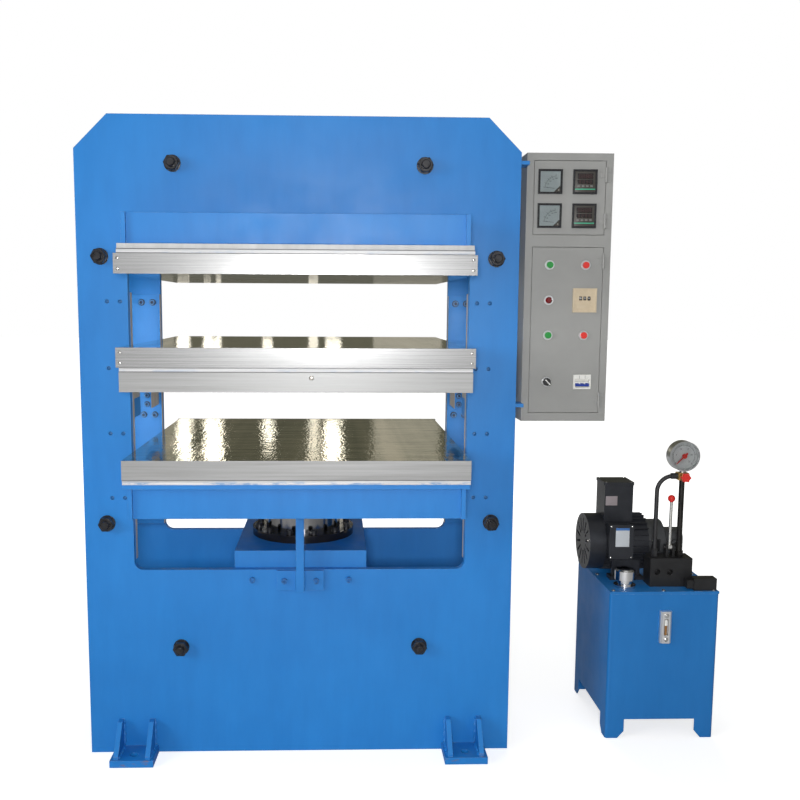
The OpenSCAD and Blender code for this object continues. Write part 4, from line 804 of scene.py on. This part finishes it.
SINK = 2.5 * MM
HALF_BEZEL = 37 * MM


def tick(build, cx, cz, angle, inner, outer, width, y0, y1):
    """A straight mark that points away from a centre."""
    along = Vector(polar(0.0, 0.0, 1.0, angle))
    across = Vector((-along.y, along.x)) * width / 2
    centre = Vector((cx, cz))
    near, far = centre + along * inner, centre + along * outer
    corners = (near + across, near - across, far - across, far + across)
    build.slab([tuple(corner) for corner in corners], y0, y1)


def band(build, cx, cz, inner, outer, start, end, y0, y1, steps):
    """A flat curved band between two radii."""
    for k in range(steps):
        a, b = (start + (end - start) * j / steps for j in (k, k + 1))
        corners = ((inner, a), (inner, b), (outer, b), (outer, a))
        build.slab([polar(cx, cz, radius, angle) for radius, angle in corners], y0, y1)


def numerals(build, cx, cz, radius, start, sweep, count, step, y, height):
    """Plain numbers in even steps from 0, on an arc."""
    for k in range(count):
        x, z = polar(cx, cz, radius, start + sweep * k / (count - 1))
        build.text(str(step * k), x, y, z, height)


def meters():
    """The two dial meters: a scale plate with a cut corner, a printed scale, a pointer and a glass."""
    low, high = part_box("panel_instruments")
    face = low.y + SINK
    x = low.x + HALF_BEZEL
    half, cut, gap, pivot, screw_inset = 30.5 * MM, 19 * MM, 1.5 * MM, 21 * MM, 5 * MM
    plate_y, corner_y = face - 0.6 * MM, face - 1.4 * MM
    print_y, print_back = face - 0.7 * MM, face - 0.5 * MM
    pointer_y, pointer_back = face - 1.2 * MM, face - 0.9 * MM
    glass_y, glass_back = face - 2.3 * MM, face - 1.8 * MM
    zero, sweep, steps, long_every = 174, -78, 20, 5
    line_in, line_out, tick_in = 36.6 * MM, 37.1 * MM, 37 * MM
    long_tick, short_tick = (43 * MM, 0.8 * MM), (40 * MM, 0.4 * MM)
    white = print_ink("meter_scale", (0.47, 0.52, 0.54), 0.4)
    brown = plastic("meter_corner", (0.085, 0.066, 0.054), (0.35, 0.48))
    plate, ink, pointer, corner, glass, screw = (Build() for _ in range(6))
    for z in (low.z + HALF_BEZEL, high.z - HALF_BEZEL):
        left, right, bottom, top = x - half, x + half, z - half, z + half
        plate.slab([(left, bottom), (right - cut, bottom), (right, bottom + cut), (right, top), (left, top)],
                   plate_y, face)
        corner.slab([(right - cut + gap, bottom), (right, bottom), (right, bottom + cut - gap)],
                    corner_y, face)
        px, pz = x + pivot, z - pivot
        band(ink, px, pz, line_in, line_out, zero + sweep, zero, print_y, print_back, 24)
        for k in range(steps + 1):
            reach, width = short_tick if k % long_every else long_tick
            tick(ink, px, pz, zero + sweep * k / steps, tick_in, reach, width, print_y, print_back)
        numerals(ink, px, pz, 31 * MM, zero, sweep, 5, 50, print_y, 3.6 * MM)
        tick(pointer, px, pz, zero, 8 * MM, 40 * MM, 0.9 * MM, pointer_y, pointer_back)
        screw.turn(dome(2.6 * MM, 0.7 * MM), (right - screw_inset, corner_y, bottom + screw_inset), FRONT,
                   TINY_ROUND)
        glass.box((left, glass_y, bottom), (right, glass_back, top))
    plate.piece("meter_scales", white, "instrument_door")
    ink.piece("meter_print", INK, "instrument_door")
    pointer.piece("meter_pointers", INK, "instrument_door", "instrument_black")
    corner.piece("meter_corners", brown, "instrument_door", "instrument_black")
    screw.piece("meter_screws", STEEL, "instrument_door", "bare_steel")
    glass.piece("meter_glass", GLASS, "instrument_door")


def digit(build, x, z, width, height, y0, y1):
    """An unlit digit of seven bars, centred on a point."""
    bar, gap = 0.16 * width, 0.08 * width
    half_w, half_h = width / 2 - bar / 2, height / 2 - bar / 2
    for side in ENDS:
        for share in (-0.5, 0.5):
            cx, cz = x + side * half_w, z + share * half_h
            build.box((cx - bar / 2, y0, cz - half_h / 2 + gap), (cx + bar / 2, y1, cz + half_h / 2 - gap))
    for level in (-1, 0, 1):
        cz = z + level * half_h
        build.box((x - half_w + gap, y0, cz - bar / 2), (x + half_w - gap, y1, cz + bar / 2))


def controllers():
    """The two temperature controllers: windows with unlit digits, keys and a pale green line."""
    low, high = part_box("panel_instruments")
    face = low.y + SINK
    x = high.x - HALF_BEZEL
    half, half_window, half_key = 31 * MM, 24 * MM, 4 * MM
    columns, digit_pitch, key_pitch = (-1.5, -0.5, 0.5, 1.5), 11 * MM, 13 * MM
    digit_width, digit_height = 0.5, 0.78
    rows = ((17 * MM, 16 * MM), (0.0, 12 * MM))
    facia_y, window_y, key_y, line_y, back = (face - depth * MM for depth in (0.6, 1.1, 1.5, 0.9, 0.5))
    digit_y, digit_back = face - 1.2 * MM, face - 1 * MM
    key_low, key_high, line_low, line_high = 15.5 * MM, 10 * MM, 23.5 * MM, 20.5 * MM
    black = plastic("controller_face", (0.052, 0.047, 0.04), (0.3, 0.42))
    grey = plastic("key_grey", (0.16, 0.16, 0.15), (0.4, 0.5))
    unlit = print_ink("unlit_digit", (0.06, 0.018, 0.015), 0.35)
    green = print_ink("green_line", (0.05, 0.42, 0.25), 0.4)
    facia, window, figures, keys, line = (Build() for _ in range(5))
    for z in (low.z + HALF_BEZEL, high.z - HALF_BEZEL):
        facia.box((x - half, facia_y, z - half), (x + half, face, z + half), 0.2 * MM)
        for rise, tall in rows:
            window.box((x - half_window, window_y, z + rise - tall / 2),
                       (x + half_window, back, z + rise + tall / 2), 0.2 * MM)
            for k in columns:
                digit(figures, x + k * digit_pitch, z + rise, digit_width * tall, digit_height * tall,
                      digit_y, digit_back)
        for k in columns:
            kx = x + k * key_pitch
            keys.box((kx - half_key, key_y, z - key_low), (kx + half_key, back, z - key_high), 0.4 * MM)
        line.box((x - half, line_y, z - line_low), (x + half, back, z - line_high), 0.15 * MM)
    facia.piece("controller_faces", black, "instrument_door", "instrument_black")
    window.piece("controller_windows", DISPLAY, "instrument_door", "instrument_black")
    figures.piece("controller_digits", unlit, "instrument_door")
    keys.piece("controller_keys", grey, "instrument_door", "instrument_black")
    line.piece("controller_lines", green, "instrument_door")


def timer_face():
    """Digit wheels in small windows, with keys above and below them, and a wide key at the foot."""
    pitch, rise, key_rise = 13 * MM, 6 * MM, 11 * MM
    half_w, half_h = 4.5 * MM, 6 * MM
    key_w, key_h, wide = 4 * MM, 2 * MM, 22 * MM
    x, front, z = front_of("timer")
    face = front + SINK
    window_y, figure_y, key_y, wide_y = (face - depth * MM for depth in (0.7, 0.78, 1.6, 0.8))
    window, keys, figures = Build(), Build(), Build()
    for k in (-1, 0, 1):
        cx, cz = x + k * pitch, z + rise
        window.box((cx - half_w, window_y, cz - half_h), (cx + half_w, face, cz + half_h), 0.3 * MM)
        figures.text("0", cx, figure_y, cz, 6 * MM)
        for kz in (cz - key_rise, cz + key_rise):
            keys.box((cx - key_w, key_y, kz - key_h), (cx + key_w, face, kz + key_h), 0.5 * MM)
    keys.box((x - wide, wide_y, z - 24 * MM), (x + wide, face, z - 14 * MM), 0.4 * MM)
    window.piece("timer_windows", DISPLAY, "control_door", "instrument_black")
    keys.piece("timer_keys", BEIGE, "control_door", "timer_beige")
    figures.piece("timer_numerals", PALE, "control_door")


def breaker_lines():
    """Joints between the breaker's three poles."""
    pitch, half_w, bottom, top = 18 * MM, 0.4 * MM, 10 * MM, 20 * MM
    cx, y, z = front_of("circuit_breaker")
    build = Build()
    for x in (cx - pitch / 2, cx + pitch / 2):
        build.box((x - half_w, y - 0.15 * MM, z + bottom), (x + half_w, y + 0.1 * MM, z + top))
    build.piece("breaker_joints", INK, "control_door")


def selector_bar():
    """A white bar let into the selector's grip."""
    half_l, width, half_t, angle = 11 * MM, 3 * MM, 0.3 * MM, 135
    x, y, z = front_of("selector_knob")
    build = Build()
    tick(build, x, z, angle, -half_l, half_l, width, y - half_t, y + half_t)
    build.piece("selector_bar", PALE, "selector")


meters()
controllers()
timer_face()
breaker_lines()
selector_bar()


# Hydraulic unit: gauge, level glass, lid screws and plates

def gauge_dial():
    """The pressure gauge's dial with a plain scale, behind glass."""
    low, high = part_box("gauge_case")
    radius = (high.x - low.x) / 2
    x, z = low.x + radius, high.z - radius
    face, glass_y = low.y + 12 * MM, low.y + 1.8 * MM
    dial_r = radius - 5.2 * MM
    line_in, line_out, tick_in = dial_r - 9.4 * MM, dial_r - 8.8 * MM, dial_r - 9 * MM
    long_tick, short_tick = (dial_r - 2.5 * MM, 1 * MM), (dial_r - 5.5 * MM, 0.5 * MM)
    start, sweep, steps, long_every = 225, -270, 50, 10
    y0, y1 = face - 0.65 * MM, face - 0.4 * MM
    dial, ink, glass = Build(), Build(), Build()
    dial.turn(disc(dial_r, 0.5 * MM, -1 * MM), (x, face, z), FRONT, WIDE_ROUND)
    band(ink, x, z, line_in, line_out, start, start + sweep, y0, y1, 54)
    for k in range(steps + 1):
        reach, width = short_tick if k % long_every else long_tick
        tick(ink, x, z, start + sweep * k / steps, tick_in, reach, width, y0, y1)
    numerals(ink, x, z, 0.58 * dial_r, start, sweep, 6, 5, y0, 5.5 * MM)
    glass.turn(disc(dial_r, 1 * MM), (x, glass_y, z), FRONT, WIDE_ROUND)
    dial.piece("gauge_dial", print_ink("dial_grey", (0.62, 0.63, 0.64), 0.4), "press")
    ink.piece("gauge_print", INK, "press")
    glass.piece("gauge_glass", GLASS, "press")


def level_glass():
    """The sight tube with oil in it, its end collars and the two bolts of the level gauge."""
    half, tube_r, level, bolt_z = 27 * MM, 4.2 * MM, 6 * MM, 40 * MM
    collar_w, collar_h, collar_out, collar_in = 5.5 * MM, 2 * MM, 0.4 * MM, 4 * MM
    x, y, z = front_of("level_gauge")
    tube_y = y + 4.5 * MM
    oil, tube, bolts = Build(), Build(), Build()
    oil.turn(disc(tube_r, half + level), (x, tube_y, z - half), UP, ROUND)
    tube.turn(disc(tube_r, half - level), (x, tube_y, z + level), UP, ROUND)
    for end in ENDS:
        collar_z = z + end * half
        bolts.turn(dome(7.5 * MM, 4 * MM), (x, y, z + end * bolt_z), FRONT, ROUND)
        bolts.box((x - collar_w, y - collar_out, collar_z - collar_h),
                  (x + collar_w, y + collar_in, collar_z + collar_h), 0.5 * MM)
    oil.piece("sight_oil", plastic("oil_tube", (0.26, 0.12, 0.03), (0.08, 0.16), coat=0.5), "press")
    tube.piece("sight_tube", PALE, "press")
    bolts.piece("level_gauge_bolts", BRIGHT_STEEL, "press", "bare_steel")


def lid_screws():
    """Button head screws round the edge of the tank's lid."""
    inset, head = 14 * MM, dome(6 * MM, 3.6 * MM)
    low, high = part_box("tank_lid")
    centre = midpoint(low, high)
    columns = (low.x + inset, centre.x, high.x - inset)
    rows = (low.y + inset, centre.y, high.y - inset)
    build = Build()
    for x, y in product(columns, rows):
        if (x, y) != (centre.x, centre.y):
            build.turn(head, (x, y, high.z), UP, SMALL_ROUND)
    build.piece("lid_screws", BRIGHT_STEEL, "press", "bare_steel")


def flat_plate(build, left, front, bottom, width, height):
    """A thin plate on a face that looks to the front."""
    proud, sunk, rounding = 0.6 * MM, 0.2 * MM, 0.2 * MM
    build.box((left, front - proud, bottom), (left + width, front + sunk, bottom + height), rounding)


def motor_plates():
    """Bare plates and lid screws on the motor's two boxes."""
    low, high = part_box("pump_motor")
    cowl_low, cowl_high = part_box("fan_cowl")
    axis = midpoint(cowl_low, cowl_high)
    start = cowl_high.x
    head = dome(3.2 * MM, 1.8 * MM)
    switch_x, switch_z = start + 40 * MM, axis.z + 26 * MM
    screw_x, screw_z = 35 * MM, 53 * MM
    left, bottom = switch_x - 20 * MM, switch_z - 16 * MM
    plate_w, plate_h, head_h = 46 * MM, 56 * MM, 8 * MM
    white, blue, grey, screws = Build(), Build(), Build(), Build()
    flat_plate(white, left, low.y, bottom, plate_w, plate_h)
    flat_plate(blue, left, low.y, bottom + plate_h, plate_w, head_h)
    for side, end in product(ENDS, repeat=2):
        screws.turn(head, (switch_x + side * screw_x, low.y, switch_z + end * screw_z), FRONT, TINY_ROUND)
    flat_plate(grey, start + 5 * MM, axis.y - 49 * MM, high.z - 80 * MM, 40 * MM, 32 * MM)
    box_x, box_screw = start + 50 * MM, 44 * MM
    for side, end in product(ENDS, repeat=2):
        screws.turn(head, (box_x + side * box_screw, axis.y + end * box_screw, high.z), UP, TINY_ROUND)
    white.piece("switch_plate", print_ink("plate_white", (0.52, 0.55, 0.58), 0.35), "press")
    blue.piece("switch_plate_head", print_ink("plate_blue", (0.05, 0.16, 0.42), 0.35), "press")
    grey.piece("motor_plate", print_ink("plate_grey", (0.3, 0.26, 0.27), 0.35), "press")
    screws.piece("motor_box_screws", BRIGHT_STEEL, "press", "bare_steel")


gauge_dial()
level_glass()
lid_screws()
motor_plates()


# Camera, floor and light

def make_camera():
    """The photograph's point of view."""
    place = (0.1027, -3.1176, 1.418)
    yaw, pitch, roll = 0.031, 0.12, -0.005
    data = bpy.data.cameras.new("camera")
    data.sensor_width = 36.0
    data.lens = 41.71
    data.shift_x = 0.0477
    data.shift_y = 0.0232
    camera = bpy.data.objects.new("camera", data)
    scene.collection.objects.link(camera)
    aim = Matrix.Rotation(-yaw, 4, "Z") @ Matrix.Rotation(pi / 2 - pitch, 4, "X")
    camera.matrix_world = Matrix.Translation(place) @ aim @ Matrix.Rotation(-roll, 4, "Z")
    scene.camera = camera


def make_floor():
    """A wide pale floor that runs out to white, and gives the object little light from below."""
    radius, near, far, near_glow, far_glow = 40.0, 1.6, 4.0, 0.66, 1.0
    dark, light, white = (0.62, 0.62, 0.62), (0.66, 0.66, 0.66), (1.0, 1.0, 1.0)
    build = bmesh.new()
    bmesh.ops.create_circle(build, cap_ends=True, segments=64, radius=radius)
    mesh = bpy.data.meshes.new("floor")
    build.to_mesh(mesh)
    build.free()
    sh = Shader("floor_white")
    seen = sh.node("LightPath").outputs["Is Camera Ray"]
    glow = sh.spread(sh.away(X, Y), near, far, near_glow, far_glow)
    sh.set("Specular IOR Level", 0.1)
    sh.set("Emission Color", white)
    sh.set("Emission Strength", sh.times(seen, glow))
    mesh.materials.append(sh.finish(sh.mix(sh.noise(3, 2.0), dark, light), 0.6))
    floor = bpy.data.objects.new("floor", mesh)
    floor.location.z = -0.5 * MM
    scene.collection.objects.link(floor)


def make_world():
    """White to the camera. To the object, a pale room in front and a dim warm hall behind."""
    white, pale, dim = (1.0, 1.0, 1.0), (0.46, 0.47, 0.49), (0.125, 0.12, 0.086)
    front, rear = -1.0, 0.24
    world = bpy.data.worlds.new("studio")
    scene.world = world
    world.use_nodes = True
    world.node_tree.nodes.clear()
    graph = Graph(world.node_tree)
    behind = graph.spread(graph.part(graph.within, Y), front, rear)
    room = graph.node("Background", Color=graph.mix(behind, pale, dim))
    backdrop = graph.node("Background", Color=white)
    blend = graph.node("MixShader")
    seen = graph.node("LightPath").outputs["Is Camera Ray"]
    for socket, value in zip(blend.inputs, (seen, room.outputs[0], backdrop.outputs[0])):
        graph.feed(socket, value)
    graph.node("OutputWorld", Surface=blend.outputs[0])


def area_light(name, place, target, width, height, watts, colour=(1.0, 1.0, 1.0), mirrored=True, spread=180,
               shadow=True):
    """A flat light that the camera doesn't see, and that shiny faces mirror only if mirrored is set."""
    data = bpy.data.lights.new(name, "AREA")
    data.shape = "RECTANGLE"
    data.size, data.size_y = width, height
    data.energy = watts
    data.color = colour
    data.spread = radians(spread)
    data.use_shadow = shadow
    light = bpy.data.objects.new(name, data)
    light.location = place
    light.rotation_euler = (Vector(target) - Vector(place)).to_track_quat("-Z", "Y").to_euler()
    light.visible_camera = False
    light.visible_glossy = mirrored
    scene.collection.objects.link(light)


def make_lights():
    """A soft light by the camera, weak ones around it, and strips behind that streak the hot plates."""
    middle = (0.1, 0.0, 1.0)
    window_z = 1.15
    area_light("by_camera", (0.05, -3.6, 1.49), middle, 0.45, 0.4, 70)
    area_light("left_window", (-4.2, -3.0, 2.2), middle, 2.4, 2.0, 100, mirrored=False)
    for side, watts in ((-1, 0.23), (1, 0.13)):
        place = Vector((side * 0.6, -0.2, window_z))
        area_light("bar_fill", place, place + REAR, 0.05, 0.6, watts, mirrored=False, spread=36, shadow=False)
    for side, watts in ((-1, 1.0), (1, 1.4)):
        place = Vector((0.0, -0.1, window_z))
        target = place + Vector((side, 0, 0))
        area_light("edge_fill", place, target, 0.4, 0.8, watts, mirrored=False, spread=100, shadow=False)
    area_light("overhead", (0.3, -0.6, 4.2), (0.3, 0.0, 0.5), 3.5, 3.0, 12)
    area_light("rear_fill", (0.8, 4.5, 3.0), middle, 3.0, 2.0, 110, mirrored=False)
    warm, strip_y, watts_per_area = (1.0, 0.93, 0.8), 5.0, 11.0
    strips = (
        ("window_a", -1.205, 0.1, 1.54, 2.2, 1.0), ("window_b", -0.955, 0.14, 1.54, 2.2, 1.0),
        ("window_c", -0.47, 0.08, 1.54, 1.72, 1.0), ("window_d", 0.1, 0.13, 1.54, 2.0, 0.9),
        ("door_slit", -0.072, 0.08, 1.32, 2.0, 0.3), ("low_a", -1.19, 0.1, 1.42, 1.54, 0.55),
        ("low_b", -0.985, 0.06, 1.42, 1.54, 0.45), ("low_c", -0.89, 0.04, 1.32, 1.54, 0.3),
        ("grey_wall", 0.75, 0.6, 1.36, 2.2, 0.08), ("left_wall", -1.39, 0.22, 1.36, 2.2, 0.06),
    )
    for name, x, width, low, high, share in strips:
        height = high - low
        z = low + height / 2
        watts = share * watts_per_area * width * height
        area_light(name, (x, strip_y, z), (x, 0.0, z), width, height, watts, warm)


make_camera()
make_floor()
make_world()
make_lights()
scene.view_settings.view_transform = "Standard"
